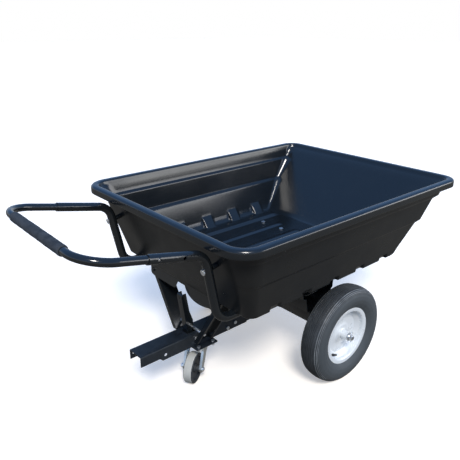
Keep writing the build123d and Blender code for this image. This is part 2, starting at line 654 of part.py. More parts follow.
AXLE_HALF = 435.0
PIN_Y = 427.0              # the cotter pins' holes
PIN_R = 1.9
PIN_LENGTH = 32.0
EYE_R = 4.6                # the ring that each cotter pin is pulled by
EYE_WIRE_R = 1.5
WASHER_R = 17.0
WASHER_THICK = 2.4
SLEEVE_R = 14.0
with BuildPart() as axle_sleeve:
    with BuildSketch(along_y(AXLE_X, -(INNER_HALF - SHEET - 0.05), AXLE_Z)):
        Circle(SLEEVE_R)
        Circle(AXLE_R + 0.02, mode=Mode.SUBTRACT)
    extrude(amount=2 * (INNER_HALF - SHEET - 0.05))
save(axle_sleeve.part, "axle_sleeve")

with BuildPart() as axle:
    with BuildSketch(along_y(AXLE_X, -AXLE_HALF, AXLE_Z)):
        Circle(AXLE_R)
    extrude(amount=2 * AXLE_HALF)
    chamfer(axle.edges().filter_by(GeomType.CIRCLE), 1.5)
    for out in (1, -1):
        with Locations(Location((AXLE_X, out * PIN_Y, AXLE_Z))):
            Cylinder(PIN_R + 0.2, 40, mode=Mode.SUBTRACT)
save(axle.part, "axle")

with BuildPart() as axle_washers:
    for out in (1, -1):
        for y in (WHEEL_Y - HUB_HALF - 0.3 - WASHER_THICK, WHEEL_Y + HUB_HALF + 0.3):
            with BuildSketch(along_y(AXLE_X, out * y, AXLE_Z)):
                Circle(WASHER_R)
                Circle(AXLE_R + 0.1, mode=Mode.SUBTRACT)
            extrude(amount=out * WASHER_THICK)
save(axle_washers.part, "axle_washers")

with BuildPart() as cotter_pins:
    for out in (1, -1):
        with BuildSketch(Plane(origin=(AXLE_X, out * PIN_Y, AXLE_Z - 18), z_dir=(0, 0, 1))):
            Circle(PIN_R)
        extrude(amount=PIN_LENGTH)
        with BuildLine(Plane(origin=(AXLE_X, out * PIN_Y, AXLE_Z + 18.5), x_dir=(1, 0, 0),
                             z_dir=(0, 1, 0))) as eye:
            CenterArc((0, 0), EYE_R, 0, 360)
        with BuildSketch(Plane(origin=(AXLE_X + EYE_R, out * PIN_Y, AXLE_Z + 18.5), z_dir=(0, 0, 1))):
            Circle(EYE_WIRE_R)
        sweep(path=eye.line)
save(cotter_pins.part, "cotter_pins")

# --------------------------------------------------------------------- latch
def lever_side_outline():
    """Side view of the latch lever: boss, hook, tall post."""
    px, pz = PIVOT
    with BuildSketch() as outline:
        with BuildLine():
            Polyline((px, pz - 11), (px + 11, pz - 9), (px + 21, pz + 13), (px + 46, pz + 181),
                     (px + 44, pz + 189), (px + 40, pz + 193), (px + 25, pz + 193), (px + 11, pz + 113),
                     (px - 5, pz + 69), (px - 5.5, pz + 47), (px - 5.5, pz + 36.6), (px, pz + 35.4),
                     (px, pz + 16), (px - 10, pz + 6), (px - 11, pz), (px - 8, pz - 8), close=True)
        make_face()
    return outline.sketch


with BuildPart() as latch_lever:
    for y in (LEVER_HALF, -LEVER_HALF + LEVER_SHEET):
        with BuildSketch(side_plane(y)):
            add(lever_side_outline())
        extrude(amount=LEVER_SHEET)
    # The front web joins the two sides.
    with BuildSketch(side_plane(LEVER_HALF)):
        with BuildLine():
            px, pz = PIVOT
            Polyline((px + 18, pz + 13), (px + 43, pz + 181), (px + 41, pz + 189), (px + 40, pz + 193),
                     (px + 44, pz + 189), (px + 46, pz + 181), (px + 21, pz + 13), close=True)
        make_face()
    extrude(amount=2 * LEVER_HALF)
    with Locations(along_y(PIVOT[0], 0, PIVOT[1])):
        Cylinder(PIVOT_R + 0.05 + FIT, 100, mode=Mode.SUBTRACT)
    for drop in (14, 32):
        with Locations(along_x(PIVOT[0] + 40, 0, PIVOT[1] + 189 - drop)):
            Cylinder(2.5, 60, mode=Mode.SUBTRACT)
save(latch_lever.part, "latch_lever")
save(bolt_stack([pivot_spot], PIVOT_R, 2 * TONGUE_HALF + 0.2, *PIVOT_BOLT), "latch_pivot_bolt")

# -------------------------------------------------------------------- caster
PLATE_TOP = TONGUE_BOTTOM - 0.05
PLATE_THICK = 4.0
FLANGE_TOP = PLATE_TOP - PLATE_THICK - 0.05
FLANGE_THICK = 3.0
RACE_GAP = 9.0             # the balls and their race fill it
RACE_R = 25.0
RACE_THICK = 3.0
SKIRT_R = 27.0             # the top plate's skirt over the balls
SKIRT_DEPTH = 3.0
BALL_R = 2.8
BALL_CIRCLE = 15.0
KINGPIN_R = 6.0
KINGPIN_HEAD_R = 9.5
KINGPIN_NUT_R = 9.0
KINGPIN_TAIL = 6.0
MOUNT_PLATE = (104.0, 138.0)
TOP_PLATE = (88.0, 128.0)
FORK_TOP = FLANGE_TOP - FLANGE_THICK - RACE_GAP
caster_bolt_points = [(CASTER_X + i * PLATE_BOLT_X / 2, j * PLATE_BOLT_Y / 2)
                      for i in (-1, 1) for j in (-1, 1)]
with BuildPart() as caster_mount_plate:
    with BuildSketch(Plane.XY.offset(PLATE_TOP - PLATE_THICK)):
        with Locations((CASTER_X, 0)):
            RectangleRounded(*MOUNT_PLATE, 5)
            Circle(14, mode=Mode.SUBTRACT)
        with Locations(*caster_bolt_points):
            Circle(BOLT_R + 0.3, mode=Mode.SUBTRACT)
    extrude(amount=PLATE_THICK)
save(caster_mount_plate.part, "caster_mount_plate")

with BuildPart() as caster_top_plate:
    with BuildSketch(Plane.XY.offset(FLANGE_TOP - FLANGE_THICK)):
        with Locations((CASTER_X, 0)):
            RectangleRounded(*TOP_PLATE, 6)
            Circle(KINGPIN_R + 0.1, mode=Mode.SUBTRACT)
        with Locations(*caster_bolt_points):
            Circle(BOLT_R + 0.3, mode=Mode.SUBTRACT)
    extrude(amount=FLANGE_THICK)
    with BuildSketch(Plane.XY.offset(FLANGE_TOP - FLANGE_THICK)):
        with Locations((CASTER_X, 0)):
            Circle(SKIRT_R)
            Circle(20, mode=Mode.SUBTRACT)
    extrude(amount=-SKIRT_DEPTH)
save(caster_top_plate.part, "caster_top_plate")

plate_spots = [Location((x, y, PLATE_TOP + 0.05)) for x, y in caster_bolt_points]
save(bolt_stack(plate_spots, BOLT_R, PLATE_THICK + FLANGE_THICK + 0.3, *FRAME_BOLT), "caster_bolts")

trail = Vector(cos(radians(CASTER_ANGLE)), sin(radians(CASTER_ANGLE)), 0)
cross = Vector(-sin(radians(CASTER_ANGLE)), cos(radians(CASTER_ANGLE)), 0)
hub_point = Vector(CASTER_X, 0, CASTER_R) + trail * CASTER_TRAIL
FORK_HALF = 30.0           # the legs' flanges, turned in, start here
FORK_OUTER = 40.0          # outer face of the legs
FORK_SHEET = 3.0
CASTER_AXLE_R = 5.0
BUSHING_R = 7.5

with BuildPart() as caster_race:
    with BuildSketch(Plane.XY.offset(FORK_TOP + 0.05)):
        with Locations((CASTER_X, 0)):
            Circle(RACE_R)
            Circle(KINGPIN_R + 1, mode=Mode.SUBTRACT)
    extrude(amount=RACE_THICK)
save(caster_race.part, "caster_race")

with BuildPart() as caster_balls:
    ball_z = FORK_TOP + RACE_THICK + 0.05 + BALL_R + 0.05
    with Locations((CASTER_X, 0, ball_z)):
        with PolarLocations(BALL_CIRCLE, 12):
            Sphere(BALL_R)
save(caster_balls.part, "caster_balls")

with BuildPart() as caster_kingpin:
    kingpin_foot = FORK_TOP - FORK_SHEET - KINGPIN_TAIL
    with BuildSketch(Plane.XY.offset(kingpin_foot)):
        with Locations((CASTER_X, 0)):
            Circle(KINGPIN_R)
    extrude(amount=FLANGE_TOP + 3 - kingpin_foot)
    with BuildSketch(Plane.XY.offset(kingpin_foot)):
        with Locations((CASTER_X, 0)):
            RegularPolygon(KINGPIN_NUT_R, 6)
    extrude(amount=KINGPIN_TAIL - 0.4)
    with BuildSketch(Plane.XY.offset(FLANGE_TOP + 0.05)):
        with Locations((CASTER_X, 0)):
            Circle(KINGPIN_HEAD_R)
    extrude(amount=3)
save(caster_kingpin.part, "caster_kingpin")


def leg_outline():
    """Side view of a fork leg, on a plane whose local x runs along the trail."""
    top = FORK_TOP
    with BuildSketch() as outline:
        with BuildLine():
            Polyline((-26, top), (24, top), (28, top - 20), (CASTER_TRAIL + 12, CASTER_R + 4),
                     (CASTER_TRAIL + 12, CASTER_R - 7), (CASTER_TRAIL + 6, CASTER_R - 14),
                     (CASTER_TRAIL - 6, CASTER_R - 14), (CASTER_TRAIL - 13, CASTER_R - 4),
                     (0, top - 34), (-22, top - 16), close=True)
        make_face()
        fillet(outline.vertices(), 3)
    return outline.sketch


with BuildPart() as caster_fork:
    for side in (1, -1):
        # Each leg is a pressed channel: a plate with its edges turned in.
        start = FORK_OUTER if side > 0 else -FORK_HALF
        leg = Plane(origin=Vector(CASTER_X, 0, 0) + cross * start, x_dir=trail, z_dir=-cross)
        with BuildSketch(leg):
            add(leg_outline())
        extrude(amount=FORK_OUTER - FORK_HALF)
        inner = FORK_OUTER - FORK_SHEET if side > 0 else -FORK_HALF + 1
        hollow = Plane(origin=Vector(CASTER_X, 0, 0) + cross * inner, x_dir=trail, z_dir=-cross)
        with BuildSketch(hollow):
            add(leg_outline())
            offset(amount=-2.2, kind=Kind.INTERSECTION, mode=Mode.REPLACE)
        extrude(amount=FORK_OUTER - FORK_HALF - FORK_SHEET + 1, mode=Mode.SUBTRACT)
    crown = Plane(origin=(CASTER_X, 0, FORK_TOP - FORK_SHEET), x_dir=trail, z_dir=(0, 0, 1))
    with BuildSketch(crown):
        Rectangle(44, 2 * FORK_OUTER)
        Circle(SKIRT_R)
        Circle(KINGPIN_R + 0.3, mode=Mode.SUBTRACT)
    extrude(amount=FORK_SHEET)
    with Locations(Plane(origin=hub_point, x_dir=trail, z_dir=cross)):
        Cylinder(CASTER_AXLE_R + 0.05, 3 * FORK_OUTER, mode=Mode.SUBTRACT)
save(caster_fork.part, "caster_fork")

axle_line = Plane(origin=hub_point, x_dir=trail, z_dir=cross)
CORE_R = CASTER_R - CASTER_TREAD
DISH_EDGE = 9.0            # width of the ring outside the dish
DISH_HUB_R = 19.0
DISH_DEPTH = 8.0
CASTER_HUB_R = 14.0
with BuildPart() as caster_core:
    with BuildSketch(axle_line.offset(-CASTER_WIDTH / 2 + 0.5)):
        Circle(CORE_R)
        Circle(BUSHING_R + 0.05, mode=Mode.SUBTRACT)
    extrude(amount=CASTER_WIDTH - 1)
    # Each face is dished between the hub and the thick outer ring.
    for face in (CASTER_WIDTH / 2, -CASTER_WIDTH / 2):
        with BuildSketch(axle_line.offset(face)):
            Circle(CORE_R - DISH_EDGE)
            Circle(DISH_HUB_R, mode=Mode.SUBTRACT)
        extrude(amount=-DISH_DEPTH if face > 0 else DISH_DEPTH, mode=Mode.SUBTRACT)
    with BuildSketch(axle_line.offset(-FORK_HALF + 1)):
        Circle(CASTER_HUB_R)
        Circle(BUSHING_R + 0.05, mode=Mode.SUBTRACT)
    extrude(amount=2 * FORK_HALF - 2)
save(caster_core.part, "caster_core")

with BuildPart() as caster_tread:
    with BuildSketch(axle_line.offset(-CASTER_WIDTH / 2)):
        Circle(CASTER_R)
        Circle(CORE_R, mode=Mode.SUBTRACT)
    extrude(amount=CASTER_WIDTH)
    fillet(caster_tread.edges().filter_by(GeomType.CIRCLE).group_by(SortBy.RADIUS)[-1], 2.5)
save(caster_tread.part, "caster_tread")

BUSHING_HALF = FORK_OUTER - FORK_SHEET - 0.2
with BuildPart() as caster_bushing:
    with BuildSketch(axle_line.offset(-BUSHING_HALF)):
        Circle(BUSHING_R)
        Circle(CASTER_AXLE_R + FIT, mode=Mode.SUBTRACT)
    extrude(amount=2 * BUSHING_HALF)
save(caster_bushing.part, "caster_bushing")

caster_axle_spot = Location(axle_line.offset(FORK_OUTER + 0.05))
save(bolt_stack([caster_axle_spot], CASTER_AXLE_R, 2 * FORK_OUTER + 0.1, *CASTER_AXLE_BOLT),
     "caster_axle_bolt")

# -------------------------------------------------------------------- wheels
def wheel_plane(y, out):
    """A plane at a wheel's centre: local z points outwards, away from the cart."""
    return Plane(origin=(AXLE_X, y, AXLE_Z), x_dir=(1, 0, 0), z_dir=(0, out, 0))


def spun(points, plane, cavity=()):
    """Revolve a closed outline of (radius, offset along the axle) about the wheel's axis."""
    section = Plane(origin=plane.origin, x_dir=plane.x_dir, z_dir=-plane.y_dir)
    with BuildPart() as body:
        with BuildSketch(section):
            with BuildLine():
                Polyline(*points, close=True)
            make_face()
        revolve(axis=Axis(plane.origin, plane.z_dir))
        if cavity:
            with BuildSketch(section):
                with BuildLine():
                    Polyline(*cavity, close=True)
                make_face()
            revolve(axis=Axis(plane.origin, plane.z_dir), mode=Mode.SUBTRACT)
    return body.part


def mirrored(half):
    """A half outline that starts on the middle plane, carried on through the other half."""
    return [(r, -a) for r, a in reversed(half[1:])] + half


HUB_R = 17.0
BEARING_R = 13.5
BEARING_LONG = 24.0
SEAL_THICK = 1.45          # the bearings' end caps
RIM_BED = [(RIM_FLANGE_R, 35.2), (RIM_FLANGE_R - 1.4, 33.2), (106, 32.2), (RIM_SEAT_R, 29.5),
           (RIM_SEAT_R, 16), (88, 8)]
RIM_BACK = [(RIM_FLANGE_R - 0.8, 36), (RIM_FLANGE_R - 2.4, 35.3), (105.2, 34.2), (100.8, 30.5),
            (100.8, 17.3), (85.8, 9.3)]
DISC_FRONT = [(81, 4.8), (44.5, 4.8), (36.5, 8.3), (23.5, 8.3), (HUB_R + 0.05, 12.2)]
DISC_REAR = [(HUB_R + 0.05, 10), (24, 6), (36, 6), (44, 2.5), (81, 2.5), (85.8, 1.5)]
rim_outline = (RIM_BED + [(r, -a) for r, a in reversed(RIM_BED)] + [(r, -a) for r, a in RIM_BACK]
               + list(reversed(DISC_REAR)) + list(reversed(DISC_FRONT)) + list(reversed(RIM_BACK)))

TREAD_HALF = 32.0
TREAD_CROWN = 4.6          # how far the tread falls away at its edges
GROOVE_PITCH = 8.0
GROOVE_HALF = 1.1
GROOVE_DEPTH = 3.0


def tread_r(a):
    """Tread radius at an offset from the tyre's middle."""
    return TYRE_R - TREAD_CROWN * (a / TREAD_HALF) ** 2


tread = []
for i in range(-3, 4):
    middle = i * GROOVE_PITCH
    tread += [(tread_r(middle - GROOVE_HALF), middle - GROOVE_HALF),
              (tread_r(middle) - GROOVE_DEPTH, middle - GROOVE_HALF / 2),
              (tread_r(middle) - GROOVE_DEPTH, middle + GROOVE_HALF / 2),
              (tread_r(middle + GROOVE_HALF), middle + GROOVE_HALF)]
SIDEWALL = [(tread_r(TREAD_HALF), TREAD_HALF), (190.5, 38.5), (183, 44), (170, 48.7), (155, TYRE_HALF),
            (140, 47), (127, 40.5), (119.6, 34.5), (117, 31.6), (106, 30.8), (104, 29),
            (RIM_SEAT_R + 0.1, 21)]
TYRE_INSIDE = [(193.5, 0), (191.5, 18), (184, 32), (170, 41.5), (155, 44), (140, 40.5), (126, 33),
               (114, 25.5), (104, 20)]
tyre_outline = (tread + SIDEWALL + list(reversed(mirrored(TYRE_INSIDE)))
                + [(r, -a) for r, a in reversed(SIDEWALL)])
TUBE_OUTSIDE = [(193, 0), (191, 17.6), (183.6, 31.5), (169.8, 41), (155, 43.5), (140.3, 40), (126.3, 32.6),
                (114.3, 25), (104.3, 15), (98, 8)]
TUBE_INSIDE = [(191, 0), (189.2, 16.8), (182.3, 30.1), (169, 39.1), (155, 41.4), (141, 38.2), (127.4, 31),
               (115.5, 23.4), (105.5, 14), (99.8, 7.2)]

VALVE_ANGLE = 51.0         # degrees below the forward direction
VALVE_AT = (95.5, 12.0)    # middle of the rim's sloped shoulder
VALVE_TILT = 28.0          # degrees the stem leans from the axle direction towards the axle
VALVE_NECK_R = 4.7
VALVE_BASE_R = 6.0
VALVE_STEM_R = 2.6
VALVE_CAP_R = 3.9


def valve_plane(y, out):
    """Plane on the rim's shoulder with its normal along the valve stem."""
    radial = Vector(cos(radians(VALVE_ANGLE)), 0, -sin(radians(VALVE_ANGLE)))
    axial = Vector(0, out, 0)
    origin = Vector(AXLE_X, y, AXLE_Z) + radial * VALVE_AT[0] + axial * VALVE_AT[1]
    return Plane(origin=origin, z_dir=axial * cos(radians(VALVE_TILT)) - radial * sin(radians(VALVE_TILT)))


for side, out in (("left", 1), ("right", -1)):
    middle = wheel_plane(out * WHEEL_Y, out)
    valve = valve_plane(out * WHEEL_Y, out)
    with BuildPart() as rim:
        add(spun(rim_outline, middle))
        with Locations(valve):
            Cylinder(VALVE_NECK_R + 0.2, 16, mode=Mode.SUBTRACT)
    save(rim.part, f"{side}_rim")
    with BuildPart() as hub:
        with BuildSketch(middle.offset(1.5 - HUB_HALF)):
            Circle(HUB_R)
            Circle(BEARING_R + 0.02, mode=Mode.SUBTRACT)
        extrude(amount=2 * HUB_HALF - 3)
    save(hub.part, f"{side}_hub")
    with BuildPart() as bearings:
        for face in (1, -1):
            with BuildSketch(middle.offset(face * HUB_HALF)):
                Circle(HUB_R - 1)
                Circle(AXLE_R + FIT, mode=Mode.SUBTRACT)
            extrude(amount=-face * SEAL_THICK)
            with BuildSketch(middle.offset(face * HUB_HALF)):
                Circle(BEARING_R)
                Circle(AXLE_R + FIT, mode=Mode.SUBTRACT)
            extrude(amount=-face * BEARING_LONG)
    save(bearings.part, f"{side}_wheel_bearings")
    save(spun(tyre_outline, middle), f"{side}_tyre")
    save(spun(mirrored(TUBE_OUTSIDE), middle, mirrored(TUBE_INSIDE)), f"{side}_inner_tube")
    with BuildPart() as stem:
        with BuildSketch(valve.offset(-2)):
            Circle(VALVE_NECK_R)
        extrude(amount=5)
        with BuildSketch(valve.offset(2.3)):
            Circle(VALVE_BASE_R)
        extrude(amount=9, taper=10)
        with BuildSketch(valve.offset(11)):
            Circle(VALVE_STEM_R)
        extrude(amount=4)
        with BuildSketch(valve.offset(13.5)):
            Circle(VALVE_CAP_R)
        extrude(amount=7)
    save(stem.part, f"{side}_valve_stem")
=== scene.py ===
"""Looks for the garden cart: camera, light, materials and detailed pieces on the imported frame.

Everything is in metres in the cart's own frame: +X forwards, +Y the cart's left, +Z up.
"""
import json
import math

import bmesh
import bpy
import numpy as np
from mathutils import Matrix, Vector


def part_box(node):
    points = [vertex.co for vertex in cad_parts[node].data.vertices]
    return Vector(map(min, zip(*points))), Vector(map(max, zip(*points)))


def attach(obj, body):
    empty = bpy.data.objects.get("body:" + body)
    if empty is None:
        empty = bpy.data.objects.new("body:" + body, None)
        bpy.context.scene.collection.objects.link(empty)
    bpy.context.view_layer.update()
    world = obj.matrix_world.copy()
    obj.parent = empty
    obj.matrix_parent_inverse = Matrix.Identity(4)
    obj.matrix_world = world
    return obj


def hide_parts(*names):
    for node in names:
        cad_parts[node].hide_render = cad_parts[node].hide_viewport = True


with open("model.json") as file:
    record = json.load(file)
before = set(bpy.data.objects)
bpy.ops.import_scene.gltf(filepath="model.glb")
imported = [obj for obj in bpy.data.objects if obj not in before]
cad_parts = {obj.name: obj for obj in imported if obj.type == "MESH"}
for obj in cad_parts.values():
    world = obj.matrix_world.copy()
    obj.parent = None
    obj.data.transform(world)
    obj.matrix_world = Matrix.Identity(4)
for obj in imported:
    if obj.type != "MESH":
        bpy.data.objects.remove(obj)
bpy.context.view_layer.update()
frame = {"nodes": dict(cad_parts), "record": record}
nodes = frame["nodes"]
slot_of = {s["node"]: s["material_slot"] for s in frame["record"]["subparts"]}
body_of = {n: body for body, names in frame["record"]["behaviour"]["bodies"].items() for n in names}
scene = bpy.context.scene

AXLE_X = -0.20975
AXLE_Z = 0.2


# ------------------------------------------------------------------ camera
def make_camera():
    """The viewpoint of the photograph."""
    place = (1.29955, 1.4417, 1.3396)
    cam = bpy.data.cameras.new("photo_camera")
    cam.sensor_width = 36.0
    cam.lens = 41.10
    obj = bpy.data.objects.new("photo_camera", cam)
    scene.collection.objects.link(obj)
    yaw, pitch, roll = math.radians(229.02), math.radians(-21.44), 0.0032
    forward = Vector((math.cos(yaw) * math.cos(pitch), math.sin(yaw) * math.cos(pitch), math.sin(pitch)))
    turn = forward.to_track_quat("-Z", "Y").to_matrix().to_4x4()
    obj.matrix_world = Matrix.Translation(place) @ turn @ Matrix.Rotation(roll, 4, "Z")
    scene.camera = obj


# ------------------------------------------------------------------ stage and light
def sky_world():
    """An open sky: blue overhead, bright at the horizon, and warm ground light below it."""
    world = bpy.data.worlds.new("studio")
    scene.world = world
    world.use_nodes = True
    tree = world.node_tree
    coord = tree.nodes.new("ShaderNodeTexCoord")
    split = tree.nodes.new("ShaderNodeSeparateXYZ")
    tree.links.new(coord.outputs["Generated"], split.inputs[0])
    lift = tree.nodes.new("ShaderNodeMapRange")
    lift.inputs["From Min"].default_value = -1.0
    tree.links.new(split.outputs["Z"], lift.inputs["Value"])
    ramp = tree.nodes.new("ShaderNodeValToRGB")
    # From straight down, at 0, through the horizon, at 0.5, to straight up, at 1.
    straight_down, straight_up = (0.15, 0.145, 0.14), (0.20, 0.40, 0.80)
    ramp.color_ramp.elements[0].color = (*straight_down, 1)
    ramp.color_ramp.elements[1].color = (*straight_up, 1)
    ground, horizon = (0.27, 0.27, 0.26), (0.82, 0.88, 0.95)
    low_sky, high_sky = (0.40, 0.57, 0.85), (0.16, 0.36, 0.76)
    for at, color in ((0.47, ground), (0.505, horizon), (0.58, low_sky), (0.70, high_sky)):
        ramp.color_ramp.elements.new(at).color = (*color, 1)
    tree.links.new(lift.outputs[0], ramp.inputs[0])
    light = tree.nodes["Background"]
    light.inputs["Strength"].default_value = 1.0
    tree.links.new(ramp.outputs[0], light.inputs["Color"])
    # The camera sees plain white behind the cart.
    white = tree.nodes.new("ShaderNodeBackground")
    white.inputs["Color"].default_value = (1, 1, 1, 1)
    path = tree.nodes.new("ShaderNodeLightPath")
    mix = tree.nodes.new("ShaderNodeMixShader")
    tree.links.new(path.outputs["Is Camera Ray"], mix.inputs[0])
    tree.links.new(light.outputs[0], mix.inputs[1])
    tree.links.new(white.outputs[0], mix.inputs[2])
    tree.links.new(mix.outputs[0], tree.nodes["World Output"].inputs[0])


def add_light(light, energy, color, place, aim):
    """Puts a lamp at a place, turned to what it lights. The camera doesn't see it."""
    light.energy, light.color = energy, color
    obj = bpy.data.objects.new(light.name, light)
    scene.collection.objects.link(obj)
    direction = Vector(aim) - Vector(place)
    obj.matrix_world = Matrix.Translation(place) @ direction.to_track_quat("-Z", "Y").to_matrix().to_4x4()
    obj.visible_camera = False


def make_stage():
    """The sky, the sun, a soft box at the cart's left rear, and the floor."""
    sky_world()
    tub_middle = (-0.2, 0.0, 0.6)
    sun = bpy.data.lights.new("sun", "SUN")
    sun.angle = math.radians(15)
    add_light(sun, energy=2.9, color=(1.0, 0.96, 0.90), place=(2.2, 3.4, 5.0), aim=tub_middle)
    box = bpy.data.lights.new("side_box", "AREA")
    box.shape = "RECTANGLE"
    box.size, box.size_y = 3.0, 1.5
    add_light(box, energy=58, color=(1.0, 0.98, 0.94), place=(-2.9, 3.0, 1.5), aim=tub_middle)
    half = 40.0
    corners = [(-half, -half, 0), (half, -half, 0), (half, half, 0), (-half, half, 0)]
    mesh = bpy.data.meshes.new("floor")
    mesh.from_pydata(corners, [], [(0, 1, 2, 3)])
    floor = bpy.data.objects.new("floor", mesh)
    scene.collection.objects.link(floor)
    # The cart's own surfaces are lit and mirrored by the ground colour of the world instead.
    floor.visible_glossy = False
    floor.visible_diffuse = False
    mesh.materials.append(floor_material())


# ------------------------------------------------------------------ materials
class Surface:
    """A Principled material whose patterns use the piece's own coordinates, in metres."""

    def __init__(self, name, color, roughness, metallic=0.0, specular=0.5, coat=0.0):
        self.mat = bpy.data.materials.new(name)
        self.mat.use_nodes = True
        self.tree = self.mat.node_tree
        self.shader = self.tree.nodes["Principled BSDF"]
        self.shader.inputs["Base Color"].default_value = (*color, 1)
        self.shader.inputs["Roughness"].default_value = roughness
        self.shader.inputs["Metallic"].default_value = metallic
        self.shader.inputs["Specular IOR Level"].default_value = specular
        self.shader.inputs["Coat Weight"].default_value = coat
        self.shader.inputs["Coat Roughness"].default_value = 0.12
        self.coord = self.node("ShaderNodeTexCoord").outputs["Object"]
        self.color = None
        self.bump = None

    def node(self, kind, **values):
        made = self.tree.nodes.new(kind)
        for key, value in values.items():
            made.inputs[key.replace("_", " ")].default_value = value
        return made

    def link(self, a, b):
        self.tree.links.new(a, b)

    def stretched(self, scale, turn=(0, 0, 0)):
        """Coordinates for a pattern with a grain."""
        mapping = self.node("ShaderNodeMapping", Scale=scale, Rotation=turn)
        self.link(self.coord, mapping.inputs["Vector"])
        return mapping.outputs[0]

    def noise(self, scale, detail=4.0, rough=0.55, coord=None):
        made = self.node("ShaderNodeTexNoise", Scale=scale, Detail=detail, Roughness=rough)
        self.link(coord or self.coord, made.inputs["Vector"])
        return made.outputs["Fac"]

    def cells(self, scale):
        made = self.node("ShaderNodeTexVoronoi", Scale=scale)
        self.link(self.coord, made.inputs["Vector"])
        return made.outputs["Distance"]

    def between(self, value, low, high, out_low=0.0, out_high=1.0):
        """Remaps a pattern, clamped at both ends."""
        made = self.node("ShaderNodeMapRange", From_Min=low, From_Max=high, To_Min=out_low, To_Max=out_high)
        self.link(value, made.inputs["Value"])
        return made.outputs[0]

    def times(self, a, b):
        made = self.tree.nodes.new("ShaderNodeMath")
        made.operation = "MULTIPLY"
        self.link(a, made.inputs[0])
        self.link(b, made.inputs[1])
        return made.outputs[0]

    def tint(self, fac, color):
        """Lays a colour over what is there already, as strongly as the pattern says."""
        mix = self.tree.nodes.new("ShaderNodeMix")
        mix.data_type = "RGBA"
        self.link(fac, mix.inputs["Factor"])
        if self.color is None:
            mix.inputs["A"].default_value = self.shader.inputs["Base Color"].default_value
        else:
            self.link(self.color, mix.inputs["A"])
        mix.inputs["B"].default_value = (*color, 1)
        self.color = mix.outputs["Result"]
        self.link(self.color, self.shader.inputs["Base Color"])

    def roughen(self, value):
        self.link(value, self.shader.inputs["Roughness"])

    def raised(self, height, distance, strength):
        """Adds relief; distance is the pattern's full height in metres."""
        made = self.node("ShaderNodeBump", Strength=strength, Distance=distance)
        self.link(height, made.inputs["Height"])
        if self.bump is not None:
            self.link(self.bump, made.inputs["Normal"])
        self.bump = made.outputs[0]
        self.link(self.bump, self.shader.inputs["Normal"])


def floor_material():
    """Pale warm ground with faint patches."""
    s = Surface("floor_pale", (0.90, 0.85, 0.78), 0.9, specular=0.1)
    s.tint(s.between(s.noise(0.8), 0.35, 0.7, 0.0, 0.5), (0.91, 0.86, 0.795))
    # A faint glow keeps the shadows pale.
    s.shader.inputs["Emission Color"].default_value = (1.0, 0.93, 0.84, 1)
    s.shader.inputs["Emission Strength"].default_value = 0.36
    return s.mat


def tub_inside():
    """Glossy moulded polyethylene with faint long scuffs and soft waves in the wall."""
    s = Surface("tub_inside", (0.006, 0.008, 0.010), 0.2, specular=0.62)
    scuffs = s.noise(7, 6, 0.7, s.stretched((1.0, 6.0, 16.0), (0.6, 0.2, 0.5)))
    faint = s.between(scuffs, 0.58, 0.80, 0.0, 0.22)
    s.tint(faint, (0.040, 0.046, 0.054))
    s.tint(s.between(s.noise(4), 0.5, 0.85, 0.0, 0.20), (0.024, 0.026, 0.028))
    s.roughen(s.between(s.noise(5, 3, 0.5), 0.35, 0.70, 0.17, 0.25))
    s.raised(s.noise(2.4, 1), 0.0030, 0.30)
    return s.mat


def tub_outside():
    """The weathered outside of the tub: duller, dusty and scuffed."""
    s = Surface("tub_outside", (0.008, 0.009, 0.010), 0.36, specular=0.34)
    s.tint(s.between(s.noise(6, 5), 0.40, 0.80, 0.0, 0.60), (0.020, 0.019, 0.017))
    scuffs = s.noise(11, 7, 0.75, s.stretched((3.0, 3.0, 1.0), (0.3, 0.5, 0.2)))
    s.tint(s.between(scuffs, 0.62, 0.80, 0.0, 0.30), (0.055, 0.052, 0.045))
    s.roughen(s.between(s.noise(9, 4), 0.3, 0.75, 0.26, 0.42))
    s.raised(s.noise(2.8, 1), 0.0024, 0.35)
    return s.mat


def frame_black():
    """Gloss black powder coat with a light orange-peel skin."""
    s = Surface("frame_black", (0.007, 0.009, 0.011), 0.18, specular=0.55, coat=0.2)
    s.tint(s.between(s.noise(18, 5), 0.5, 0.8, 0.0, 0.30), (0.018, 0.018, 0.017))
    s.roughen(s.between(s.noise(12, 3), 0.3, 0.7, 0.14, 0.22))
    s.raised(s.noise(300, 2), 0.00005, 0.3)
    return s.mat


def tongue_steel():
    """Satin charcoal coat, slightly speckled."""
    s = Surface("tongue_steel", (0.009, 0.013, 0.018), 0.34, specular=0.5)
    s.tint(s.between(s.noise(40, 5), 0.4, 0.8, 0.0, 0.6), (0.022, 0.027, 0.033))
    s.tint(s.between(s.noise(900, 2), 0.60, 0.75, 0.0, 0.5), (0.09, 0.10, 0.11))
    s.roughen(s.between(s.noise(60, 4), 0.3, 0.7, 0.32, 0.46))
    s.raised(s.noise(700, 2), 0.00008, 0.6)
    return s.mat


def plated(name, color, tone, low, high, brushed=(1, 1, 1)):
    """Plated steel: a fine grain, cloudy patches of a second tone and uneven gloss."""
    s = Surface(name, color, low, metallic=1.0)
    s.tint(s.between(s.noise(70, 5), 0.35, 0.75, 0.0, 0.7), tone)
    s.roughen(s.between(s.noise(160, 4), 0.3, 0.7, low, high))
    s.raised(s.noise(900, 2, 0.5, s.stretched(brushed)), 0.00005, 0.5)
    return s.mat


def grip_foam():
    """Closed-cell foam: matte, pitted, a little greyer where hands rub it."""
    s = Surface("grip_foam", (0.022, 0.027, 0.033), 0.85, specular=0.3)
    s.tint(s.between(s.noise(30, 5), 0.4, 0.75, 0.0, 0.8), (0.060, 0.066, 0.074))
    s.tint(s.between(s.noise(700, 2), 0.55, 0.75, 0.0, 0.6), (0.10, 0.105, 0.11))
    s.raised(s.cells(650), 0.0004, 0.6)
    s.raised(s.noise(60, 3), 0.0005, 0.5)
    return s.mat


